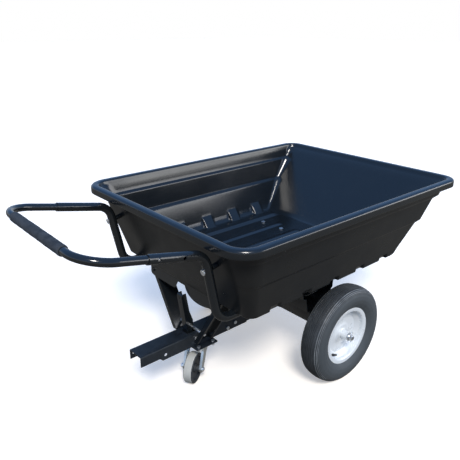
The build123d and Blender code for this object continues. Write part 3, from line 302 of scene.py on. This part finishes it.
def rim_silver():
    """Pale gloss paint with a faint metallic mottle and road dust."""
    s = Surface("rim_silver", (0.70, 0.725, 0.735), 0.25, metallic=0.1, coat=0.4)
    s.tint(s.between(s.noise(10, 3), 0.40, 0.75, 0.0, 0.5), (0.64, 0.665, 0.68))
    s.tint(s.between(s.noise(190, 5, 0.7), 0.68, 0.80, 0.0, 0.20), (0.40, 0.40, 0.39))
    s.roughen(s.between(s.noise(20, 4), 0.3, 0.7, 0.24, 0.34))
    s.raised(s.noise(500, 2), 0.00005, 0.4)
    return s.mat


def rubber(name, color, dust, low, high, grain=650):
    """Moulded rubber: fine grain, blotches of dust and worn places."""
    s = Surface(name, color, low, specular=0.4)
    s.tint(s.between(s.noise(16, 6, 0.65), 0.40, 0.75, 0.0, 0.75), dust)
    s.tint(s.between(s.noise(260, 4, 0.7), 0.58, 0.78, 0.0, 0.5), dust)
    s.roughen(s.between(s.noise(35, 5), 0.3, 0.7, low, high))
    s.raised(s.noise(grain, 3), 0.00012, 0.6)
    return s.mat


def tyre_rubber():
    """Tyre rubber, greyed on the sidewalls, with pale rings round its shoulders."""
    ring_pitch = 0.0043
    grey_from, grey_to = 0.186, 0.176
    rings_start, rings_fade, rings_end = 0.180, 0.1965, 0.1985
    s = Surface("tyre", (0.018, 0.021, 0.024), 0.55, specular=0.45)
    split = s.node("ShaderNodeSeparateXYZ")
    s.link(s.coord, split.inputs[0])
    spot = s.node("ShaderNodeCombineXYZ")
    s.link(split.outputs["X"], spot.inputs["X"])
    s.link(split.outputs["Z"], spot.inputs["Y"])
    away = s.tree.nodes.new("ShaderNodeVectorMath")
    away.operation = "DISTANCE"
    away.inputs[1].default_value = (AXLE_X, AXLE_Z, 0)
    s.link(spot.outputs[0], away.inputs[0])
    radius = away.outputs["Value"]
    s.tint(s.between(radius, grey_from, grey_to, 0.0, 0.9), (0.055, 0.064, 0.070))
    s.tint(s.between(s.noise(16, 6, 0.65), 0.40, 0.75, 0.0, 0.6), (0.060, 0.066, 0.070))
    spread = s.tree.nodes.new("ShaderNodeMath")
    spread.operation = "MULTIPLY"
    spread.inputs[1].default_value = 2 * math.pi / ring_pitch
    s.link(radius, spread.inputs[0])
    wave = s.tree.nodes.new("ShaderNodeMath")
    wave.operation = "SINE"
    s.link(spread.outputs[0], wave.inputs[0])
    rings = s.between(wave.outputs[0], 0.55, 0.95)
    shoulder = s.times(s.between(radius, rings_start, grey_from), s.between(radius, rings_end, rings_fade))
    # Pale grey laid in patches along the fine rings on the shoulders.
    pale_ring_mask = s.times(s.times(rings, shoulder), s.between(s.noise(25, 5), 0.30, 0.62, 0.25, 0.9))
    s.tint(pale_ring_mask, (0.30, 0.32, 0.33))
    s.roughen(s.between(s.noise(35, 5), 0.3, 0.7, 0.46, 0.66))
    s.raised(rings, 0.0003, 0.5)
    s.raised(s.noise(500, 3), 0.00012, 0.5)
    return s.mat


def moulded(name, color, tone, low, high):
    """Plain moulded plastic with a fine spark-eroded skin."""
    s = Surface(name, color, low)
    s.tint(s.between(s.noise(45, 5), 0.4, 0.75, 0.0, 0.6), tone)
    s.roughen(s.between(s.noise(60, 4), 0.3, 0.7, low, high))
    s.raised(s.noise(800, 2), 0.00008, 0.5)
    return s.mat


materials = {
    "tub_poly": tub_outside(),
    "frame_black": frame_black(),
    "tongue_steel": tongue_steel(),
    "zinc": plated("zinc", (0.90, 0.92, 0.94), (0.78, 0.81, 0.85), 0.32, 0.50),
    "caster_zinc": plated("caster_zinc", (0.84, 0.87, 0.87), (0.60, 0.60, 0.55), 0.28, 0.46),
    "axle_steel": plated("axle_steel", (0.62, 0.63, 0.64), (0.45, 0.46, 0.48), 0.25, 0.40, (1, 12, 1)),
    "spring_steel": plated("spring_steel", (0.42, 0.42, 0.43), (0.34, 0.33, 0.32), 0.25, 0.40, (8, 1, 1)),
    "button_chrome": plated("button_chrome", (0.84, 0.85, 0.86), (0.74, 0.75, 0.78), 0.08, 0.16),
    "grip_foam": grip_foam(),
    "rim_silver": rim_silver(),
    "tyre": tyre_rubber(),
    "inner_tube_rubber": rubber("inner_tube_rubber", (0.03, 0.03, 0.03), (0.05, 0.05, 0.05), 0.45, 0.6),
    "valve_rubber": rubber("valve_rubber", (0.015, 0.015, 0.017), (0.03, 0.03, 0.03), 0.40, 0.55),
    "nylon": moulded("nylon", (0.05, 0.05, 0.05), (0.08, 0.08, 0.08), 0.40, 0.55),
    "caster_core_plastic": moulded("caster_core_plastic", (0.030, 0.034, 0.038), (0.06, 0.064, 0.068),
                                   0.38, 0.52),
    "caster_tread_rubber": rubber("caster_tread_rubber", (0.40, 0.40, 0.37), (0.52, 0.51, 0.46),
                                  0.65, 0.85, grain=400),
}
inside_poly = tub_inside()


# ------------------------------------------------------------------ mesh help
def new_object(name, verts, faces, node):
    """A smooth mesh piece that stands for a CAD node."""
    mesh = bpy.data.meshes.new(name)
    mesh.from_pydata([tuple(v) for v in verts], [], [tuple(f) for f in faces])
    mesh.update()
    mesh.shade_smooth()
    obj = bpy.data.objects.new(name, mesh)
    scene.collection.objects.link(obj)
    adopt(obj, node)
    return obj


def adopt(obj, node):
    """obj stands for a CAD node, on its body and with its material."""
    slot = slot_of[node]
    obj.data.materials.append(materials[slot])
    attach(obj, body_of[node])
    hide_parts(node)


def rounded_rows(rows, sigma, step, closed=False):
    """Resamples a polyline by length, then rounds its corners with a bell of width sigma."""
    least_points = 8
    rows = np.array(rows, float)
    if closed:
        rows = np.concatenate([rows, rows[:1]])
    gaps = np.linalg.norm(np.diff(rows, axis=0), axis=1)
    at = np.concatenate([[0], np.cumsum(gaps)])
    fine = np.linspace(0, at[-1], max(least_points, int(at[-1] / step)), endpoint=not closed)
    out = np.stack([np.interp(fine, at, rows[:, c]) for c in range(rows.shape[1])], 1)
    reach = int(3 * sigma / step) + 1
    kernel = np.exp(-0.5 * (np.arange(-reach, reach + 1) * step / sigma) ** 2)
    kernel /= kernel.sum()
    if closed:
        padded = np.concatenate([out[-reach:], out, out[:reach]])
    else:
        padded = np.concatenate([2 * out[0] - out[reach:0:-1], out, 2 * out[-1] - out[-2:-reach - 2:-1]])
    return np.stack([np.convolve(padded[:, c], kernel, "valid") for c in range(out.shape[1])], 1)


def thinned(rows, keys, coarse, bend, fine_below=-1.0):
    """Keeps rows closely where the profile bends and sparsely where it is straight.

    keys are the columns that make up the profile. A row is kept every coarse metres, and sooner where
    the profile has turned by bend degrees. Rows whose first value is under fine_below are kept four
    times as closely.
    """
    keep = [0]
    last = None
    for i in range(1, len(rows) - 1):
        gap = np.linalg.norm(rows[i, keys] - rows[keep[-1], keys])
        step = rows[i, keys] - rows[i - 1, keys]
        step = step / max(np.linalg.norm(step), 1e-9)
        if last is None:
            last = step
        turn = math.degrees(math.acos(max(-1.0, min(1.0, float(step @ last)))))
        limit = coarse / 4 if rows[i, 0] < fine_below else coarse
        if gap >= limit or turn >= bend:
            keep.append(i)
            last = step
    keep.append(len(rows) - 1)
    return rows[keep]


def smoothstep(x, low, high):
    """0 below low, 1 above high, and a smooth rise between."""
    t = np.clip((x - low) / (high - low), 0, 1)
    return t * t * (3 - 2 * t)


def lathe(profile, origin, axis, steps, closed):
    """Turns (radius, offset) points about an axis through origin. Returns vertices and faces."""
    axis = Vector(axis).normalized()
    side = axis.orthogonal().normalized()
    up = axis.cross(side)
    verts = []
    for k in range(steps):
        a = 2 * math.pi * k / steps
        out = side * math.cos(a) + up * math.sin(a)
        verts += [Vector(origin) + out * r + axis * h for r, h in profile]
    n = len(profile)
    faces = []
    for k in range(steps):
        base, after = k * n, (k + 1) % steps * n
        for i in range(n if closed else n - 1):
            j = (i + 1) % n
            faces.append((base + i, base + j, after + j, after + i))
    return verts, faces


def soften(node, width=0.0008, angle=32):
    """A copy of a CAD node with its hard edges rounded, as pressed and cut steel has."""
    same_point, flat = 2e-6, math.radians(0.5)
    bm = bmesh.new()
    bm.from_mesh(nodes[node].data)
    bmesh.ops.remove_doubles(bm, verts=bm.verts, dist=same_point)
    bmesh.ops.dissolve_limit(bm, angle_limit=flat, verts=bm.verts, edges=bm.edges)
    mesh = bpy.data.meshes.new(node + "_finished")
    bm.to_mesh(mesh)
    bm.free()
    mesh.shade_smooth()
    mesh.set_sharp_from_angle(angle=math.radians(angle))
    obj = bpy.data.objects.new(node + "_finished", mesh)
    scene.collection.objects.link(obj)
    bevel = obj.modifiers.new("edges", "BEVEL")
    bevel.width = width
    bevel.segments = 2
    bevel.limit_method = "ANGLE"
    bevel.angle_limit = math.radians(angle)
    bevel.harden_normals = True
    adopt(obj, node)


# ------------------------------------------------------------------ tub
FLOOR_Z = 0.447
# How far the foot of the wall is from the axle, and how far the wall leans out for each metre up
REAR_FOOT, REAR_SLOPE = -0.318, 0.855
FRONT_FOOT, FRONT_SLOPE = 0.500, 0.331
# height, how far the rear and front are rounded in, the side's reach, and the rear and front corner radii
OUTSIDE = [(0.447, 0.012, 0.003, 0.376, 0.014, 0.034), (0.450, 0.006, 0.0005, 0.380, 0.015, 0.036),
           (0.456, 0.002, 0, 0.382, 0.016, 0.038), (0.475, 0, 0, 0.384, 0.018, 0.040),
           (0.578, 0, 0, 0.409, 0.036, 0.058), (0.588, 0, 0, 0.419, 0.024, 0.062),
           (0.672, 0, 0, 0.431, 0.046, 0.076), (0.682, 0, 0, 0.439, 0.015, 0.084),
           (0.722, 0, 0, 0.445, 0.040, 0.074)]
INSIDE = [(0.453, 0.018, 0.016, 0.347, 0.010, 0.024), (0.457, 0.011, 0.008, 0.357, 0.011, 0.028),
          (0.467, 0.0075, 0.0058, 0.364, 0.012, 0.032), (0.481, 0.0068, 0.0053, 0.371, 0.013, 0.035),
          (0.584, 0.0068, 0.0053, 0.404, 0.031, 0.053), (0.594, 0.0068, 0.0053, 0.414, 0.019, 0.057),
          (0.678, 0.0068, 0.0053, 0.426, 0.041, 0.071), (0.688, 0.0068, 0.0053, 0.434, 0.010, 0.079),
          (0.724, 0.0068, 0.0053, 0.440, 0.035, 0.068)]
RIM_REAR, RIM_FRONT, RIM_HALF = -0.601, 0.627, 0.476
RIM_REAR_RADIUS, RIM_FRONT_RADIUS = 0.072, 0.092
# The rolled rim's section, from the inner wall over the top and round to the outer wall: inset, height
LIP = [(0.0335, 0.732), (0.0325, 0.7415), (0.029, 0.7455), (0.024, 0.7468), (0.010, 0.7468),
       (0.0045, 0.7448), (0.001, 0.7405), (0.0, 0.734), (0.0, 0.7175), (0.001, 0.7162), (0.0032, 0.7162),
       (0.0042, 0.7175), (0.0045, 0.7325), (0.008, 0.7355), (0.024, 0.7355), (0.0265, 0.7335)]
SADDLE_FIRST, SADDLE_PITCH, SADDLE_COUNT = 0.385, 0.155, 5
SADDLES = [AXLE_X + SADDLE_FIRST - SADDLE_PITCH * i for i in range(SADDLE_COUNT)]
SADDLE_TILT = math.radians(39)
SADDLE_FOOT = 0.364
SADDLE_THICK = 0.024
SADDLE_DEEPEST = 0.06
SADDLE_FADE, SADDLE_TOP = 0.497, 0.503
RIB_PITCH, RIB_COUNT = 0.118, 6
# half width, height, and where it starts and ends from the axle
OUTER_RIB = (0.0185, 0.009, -0.30, 0.50)
INNER_RIB = (0.006, 0.0045, -0.215, 0.44)
RIB_FLANK, RIB_END = 0.0045, 0.012
# Points along a side wall: close together at the saddles' edges, and stretched out to the corners.
SADDLE_STEPS = [0.010, 0.021, 0.0225, 0.024, 0.0255, 0.027, 0.0285, 0.030, 0.045, 0.060]
SIDE_FIXED = np.array(sorted([x + sign * d for x in SADDLES for d in SADDLE_STEPS for sign in (1, -1)]
                             + SADDLES + [x + SADDLE_PITCH / 2 for x in SADDLES[1:]]))
# Points from the last of those to a corner, along the front or rear, and round a corner
LEAD_N, END_N, CORNER_N = 14, 110, 14
LEAST_RADIUS = 1e-5
FLOOR_RINGS = 8
SIDE_N = len(SIDE_FIXED) + 2 * LEAD_N


def level(row):
    """(height, rear, front, side, rear radius, front radius) of a wall row, from the axle."""
    z, rear_in, front_in, half, rear_radius, front_radius = row
    rear = REAR_FOOT - REAR_SLOPE * (z - FLOOR_Z) + rear_in
    front = FRONT_FOOT + FRONT_SLOPE * (z - FLOOR_Z) - front_in
    return (z, rear, front, half, rear_radius, front_radius)


def lip_level(inset, z):
    """The same for a row of the rim, inset from its outline."""
    return (z, RIM_REAR + inset, RIM_FRONT - inset, RIM_HALF - inset, RIM_REAR_RADIUS - inset,
            RIM_FRONT_RADIUS - inset)


def side_steps(start, fixed, end):
    """Positions from start up to, but not including, end."""
    lead = np.linspace(start, fixed[0], LEAD_N, endpoint=False)
    tail = np.linspace(fixed[-1], end, LEAD_N + 1, endpoint=False)[1:]
    return np.concatenate([lead, fixed, tail])


def tub_loop(z, rear, front, half, rear_radius, front_radius):
    """Points round one level of the tub, always in the same order."""
    lo, hi = AXLE_X + rear, AXLE_X + front
    a, b = max(rear_radius, LEAST_RADIUS), max(front_radius, LEAST_RADIUS)
    end = np.linspace(0, 1, END_N, endpoint=False)
    turn = np.linspace(0, math.pi / 2, CORNER_N, endpoint=False)
    pts = [(x, half) for x in side_steps(lo + a, SIDE_FIXED, hi - b)]
    pts += [(hi - b + b * math.sin(t), half - b + b * math.cos(t)) for t in turn]
    pts += [(hi, y) for y in half - b - 2 * (half - b) * end]
    pts += [(hi - b + b * math.cos(t), -half + b - b * math.sin(t)) for t in turn]
    pts += [(x, -half) for x in side_steps(hi - b, SIDE_FIXED[::-1], lo + a)]
    pts += [(lo + a - a * math.sin(t), -half + a - a * math.cos(t)) for t in turn]
    pts += [(lo, y) for y in -half + a + 2 * (half - a) * end]
    pts += [(lo + a - a * math.cos(t), half - a + a * math.sin(t)) for t in turn]
    return np.array([(x, y, z) for x, y in pts])


def floor_lift(x, y, grow):
    """How far the floor's ribs stand up at points x, y. Each rib is grow wider to either side."""
    lift = np.zeros_like(x)
    for i in range(RIB_COUNT):
        mid = (i - (RIB_COUNT - 1) / 2) * RIB_PITCH
        half, height, start, end = OUTER_RIB if i in (0, RIB_COUNT - 1) else INNER_RIB
        half += grow
        start += AXLE_X
        end += AXLE_X
        across = 1 - smoothstep(np.abs(y - mid), half - 0.001, half + RIB_FLANK)
        along = smoothstep(x, start, start + RIB_END) * (1 - smoothstep(x, end - RIB_END, end))
        lift = np.maximum(lift, height * across * along)
    return lift


def press_saddles(points, depth, half):
    """Pushes the foot of the side walls in, over half a saddle's width to either side of its middle."""
    p = points.copy()
    for side in (1, -1):
        n = np.array([0, side * math.cos(SADDLE_TILT), -math.sin(SADDLE_TILT)])
        foot = np.array([0, side * SADDLE_FOOT, FLOOR_Z])
        over = np.clip((p - foot) @ n + depth, 0, SADDLE_DEEPEST)
        mask = np.zeros(len(p))
        for x in SADDLES:
            mask = np.maximum(mask, 1 - smoothstep(np.abs(p[:, 0] - x), half - 0.002, half + 0.004))
        mask *= 1 - smoothstep(p[:, 2], SADDLE_FADE, SADDLE_TOP)
        p -= (over * mask * (p[:, 1] * side > 0))[:, None] * n
    return p


def tub_surface(loops, foot, depth, half_saddle, grow, turn_out):
    """One skin of the tub: the wall loops, then the floor's rings, then the floor's grid.

    foot is the level of the floor's edge, and turn_out faces the skin away from the load.
    """
    verts = [press_saddles(loop, depth, half_saddle) for loop in loops]
    z, rear, front, half, rear_radius, front_radius = foot
    for k in range(1, FLOOR_RINGS + 1):
        inset = min(rear_radius, front_radius) * k / FLOOR_RINGS
        loop = tub_loop(z, rear + inset, front - inset, half - inset, rear_radius - inset,
                        front_radius - inset)
        loop[:, 2] += floor_lift(loop[:, 0], loop[:, 1], grow)
        verts.append(press_saddles(loop, depth, half_saddle))
    count = len(verts)
    n = len(loops[0])
    faces = []
    for k in range(count - 1):
        for i in range(n):
            j = (i + 1) % n
            q = (k * n + i, k * n + j, (k + 1) * n + j, (k + 1) * n + i)
            faces.append(q if turn_out else q[::-1])
    last = verts[-1]
    base = (count - 1) * n
    # The floor: rows from the left side to the right, through the points of the last ring. The rear right
    # corner's end point is left out, and the last strip closes to a point at the front right, where its
    # last face names one vertex twice.
    left = [n - CORNER_N + i for i in range(CORNER_N)] + list(range(SIDE_N + CORNER_N))
    start_right = SIDE_N + CORNER_N + END_N
    right = [start_right + i for i in range(CORNER_N + SIDE_N + CORNER_N)][::-1]
    front_edge = [SIDE_N + CORNER_N + i for i in range(END_N)]
    rear_edge = [start_right + 2 * CORNER_N + SIDE_N + i for i in range(END_N)][::-1]
    grid = [[base + i] for i in left]
    extra = []
    total = count * n
    for c in range(1, len(left)):
        a, b = last[left[c]], last[right[c]]
        for j in range(1, END_N):
            t = j / END_N
            x, y = a[0] + (b[0] - a[0]) * t, a[1] + (b[1] - a[1]) * t
            grid[c].append(total + len(extra))
            extra.append((x, y, z))
        grid[c].append(base + right[c])
    grid[0] = [base + left[0]] + [base + k for k in rear_edge[:-1]] + [base + right[0]]
    grid.append([base + left[-1] + 1] + [base + k for k in front_edge[1:]] + [base + start_right])
    extra = np.array(extra)
    extra[:, 2] += floor_lift(extra[:, 0], extra[:, 1], grow)
    verts.append(press_saddles(extra, depth, half_saddle))
    for a, b in zip(grid[:-1], grid[1:]):
        for j in range(END_N):
            q = (a[j], a[j + 1], b[j + 1], b[j])
            faces.append(q[::-1] if turn_out else q)
    return np.concatenate(verts), faces


def make_tub():
    """The tub: a skin inside and over the rim, in the glossy material, and one outside and beneath."""
    inside = [level(row) for row in INSIDE]
    outside = [level(row) for row in OUTSIDE]
    lip = [lip_level(inset, z) for inset, z in LIP]
    spacing = {"keys": [0, 3], "coarse": 0.013, "bend": 9, "fine_below": 0.506}
    top = thinned(rounded_rows(inside + lip, sigma=0.0019, step=0.0004), **spacing)
    under = thinned(rounded_rows(lip[-2:] + outside[::-1], sigma=0.0022, step=0.0004), **spacing)
    v1, f1 = tub_surface([tub_loop(*row) for row in top[::-1]], foot=inside[0], depth=SADDLE_THICK,
                         half_saddle=0.026, grow=0.005, turn_out=False)
    v2, f2 = tub_surface([tub_loop(*row) for row in under], foot=outside[0], depth=0.0,
                         half_saddle=0.023, grow=0.0, turn_out=True)
    verts = np.concatenate([v1, v2])
    faces = f1 + [tuple(i + len(v1) for i in f) for f in f2]
    tub = new_object("tub_skin", verts, faces, "tub")
    tub.data.materials.append(inside_poly)
    for face in tub.data.polygons[:len(f1)]:
        face.material_index = 1


make_camera()
make_stage()
make_tub()


# ------------------------------------------------------------------ wheels
WHEEL_Y = 0.375
TYRE_R = 0.2
TREAD_HALF, TREAD_CROWN = 0.032, 0.0046
GROOVE_PITCH, GROOVE_HALF, GROOVE_DEPTH = 0.008, 0.0012, 0.003
SIDEWALL = [(0.1905, 0.0385), (0.183, 0.044), (0.170, 0.0487), (0.155, 0.050), (0.140, 0.047),
            (0.127, 0.0405), (0.1196, 0.0345), (0.1172, 0.0318), (0.108, 0.0305)]
SIDE_RINGS = (0.176, 0.163, 0.131)
RING_WIDTH, RING_DEPTH = 0.0012, 0.0006


def tread_r(a):
    """The crowned tread's radius at an offset from its middle."""
    return TYRE_R - TREAD_CROWN * (a / TREAD_HALF) ** 2


def tyre_profile():
    """The outer skin from one bead over the tread to the other."""
    tread = [(tread_r(-TREAD_HALF), -TREAD_HALF)]
    for i in range(-3, 4):
        middle = i * GROOVE_PITCH
        floor = tread_r(middle) - GROOVE_DEPTH
        tread += [(tread_r(middle - GROOVE_HALF), middle - GROOVE_HALF), (floor, middle - GROOVE_HALF / 2),
                  (floor, middle + GROOVE_HALF / 2), (tread_r(middle + GROOVE_HALF), middle + GROOVE_HALF)]
    tread.append((tread_r(TREAD_HALF), TREAD_HALF))
    outline = [(r, -a) for r, a in SIDEWALL[::-1]] + tread + SIDEWALL
    out = thinned(rounded_rows(outline, sigma=0.0004, step=0.0002), [0, 1], coarse=0.004, bend=14)
    # Shallow rings are moulded into the sidewalls.
    for ring in SIDE_RINGS:
        near = np.exp(-((out[:, 0] - ring) / RING_WIDTH) ** 2) * (np.abs(out[:, 1]) > TREAD_HALF)
        out[:, 1] -= np.sign(out[:, 1]) * RING_DEPTH * near
    return out


# The rim's section in (radius, offset): the tyre's side, the open side and the two faces of the disc
RIM_BED = [(0.119, 0.0352), (0.1176, 0.0332), (0.106, 0.0322), (0.103, 0.0295), (0.103, 0.016),
           (0.088, 0.008)]
RIM_BACK = [(0.1182, 0.0358), (0.1166, 0.0353), (0.1052, 0.0342), (0.1008, 0.0305), (0.1008, 0.0173),
            (0.0858, 0.0093)]
DISC_FRONT = [(0.081, 0.0048), (0.0445, 0.0048), (0.0365, 0.0083), (0.0235, 0.0083), (0.01705, 0.0122)]
DISC_REAR = [(0.01705, 0.010), (0.024, 0.006), (0.036, 0.006), (0.044, 0.0025), (0.081, 0.0025),
             (0.0858, 0.0015)]


def rim_profile():
    outline = (RIM_BED + [(r, -a) for r, a in RIM_BED[::-1]] + [(r, -a) for r, a in RIM_BACK]
               + DISC_REAR[::-1] + DISC_FRONT[::-1] + RIM_BACK[::-1])
    fine = rounded_rows(outline, sigma=0.0007, step=0.00025, closed=True)
    return thinned(fine, [0, 1], coarse=0.004, bend=12)


def make_wheel(side, out):
    """One side's tyre and rim; out is 1 on the left and -1 on the right."""
    middle = (AXLE_X, out * WHEEL_Y, AXLE_Z)
    axis = (0, out, 0)
    tyre = lathe(tyre_profile(), middle, axis, steps=160, closed=False)
    rim = lathe(rim_profile(), middle, axis, steps=128, closed=True)
    new_object(side + "_tyre_skin", *tyre, side + "_tyre")
    new_object(side + "_rim_skin", *rim, side + "_rim")


for side, out in (("left", 1), ("right", -1)):
    make_wheel(side, out)


# ------------------------------------------------------------------ caster wheel
CASTER_R, CASTER_CORE_R, CASTER_HALF = 0.0625, 0.0574, 0.018
CASTER_REST = math.radians(30)
# How far in from the caster wheel's sides its dark colour reaches
CASTER_DARK = 0.0022


def make_caster_tread():
    """The caster's tread: grey rubber, dark on its sides and on the edges of its shoulders."""
    low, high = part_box("caster_tread")
    centre = (Vector(low) + Vector(high)) / 2
    axis = Vector((-math.sin(CASTER_REST), math.cos(CASTER_REST), 0))
    shoulder = [(CASTER_CORE_R, CASTER_HALF), (CASTER_R - 0.0035, CASTER_HALF),
                (CASTER_R - 0.0006, CASTER_HALF - 0.0028), (CASTER_R, CASTER_HALF - 0.006)]
    outline = [(r, -a) for r, a in shoulder] + shoulder[::-1]
    fine = rounded_rows(outline, sigma=0.0007, step=0.0002, closed=True)
    profile = thinned(fine, [0, 1], coarse=0.003, bend=12)
    tread = new_object("caster_tread_skin", *lathe(profile, centre, axis, steps=96, closed=True),
                       "caster_tread")
    tread.data.materials.append(materials["caster_core_plastic"])
    for face in tread.data.polygons:
        away = Vector(face.center) - centre
        # Faces near the sides and on the shoulders' edges are given the core's dark plastic.
        if abs(away.dot(axis)) > CASTER_HALF - CASTER_DARK:
            face.material_index = 1


make_caster_tread()


# ------------------------------------------------------------------ grip
GRIP_BORE_R = 0.0131
GRIP_DIP = 0.00035
# Two waves along the grip, in radians for each metre
GRIP_WAVES = (95, 37)


def make_grip():
    """The foam sleeve, with rounded ends and a thickness that varies a little along its length."""
    low, high = (Vector(v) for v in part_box("foam_grip"))
    middle = (low + high) / 2
    half = (high.y - low.y) / 2
    radius = (high.z - low.z) / 2
    outline = [(GRIP_BORE_R, -half), (radius - 0.003, -half), (radius - 0.0008, -half + 0.0015),
               (radius, -half + 0.005)]
    outline += [(r, -a) for r, a in outline[::-1]]
    profile = thinned(rounded_rows(outline, sigma=0.0008, step=0.0003), [0, 1], coarse=0.004, bend=15)
    along = profile[:, 1]
    dip = GRIP_DIP * (1 + np.sin(along * GRIP_WAVES[0]) * np.cos(along * GRIP_WAVES[1]))
    profile[:, 0] -= dip * smoothstep(profile[:, 0], GRIP_BORE_R + 0.001, radius - 0.001)
    grip = new_object("foam_grip_skin", *lathe(profile, middle, (0, 1, 0), steps=72, closed=False),
                      "foam_grip")


make_grip()

# ------------------------------------------------------------------ the CAD's own nodes
for node, obj in nodes.items():
    obj.data.materials.clear()
    obj.data.materials.append(materials[slot_of[node]])

PRESSED = ["front_cross_member", "left_brace", "right_brace", "axle_carrier", "latch_lever", "tongue",
           "rear_tongue", "caster_mount_plate", "caster_top_plate", "caster_fork", "left_axle_bracket",
           "right_axle_bracket"]
for node in PRESSED:
    soften(node)

scene.view_settings.view_transform = "Standard"
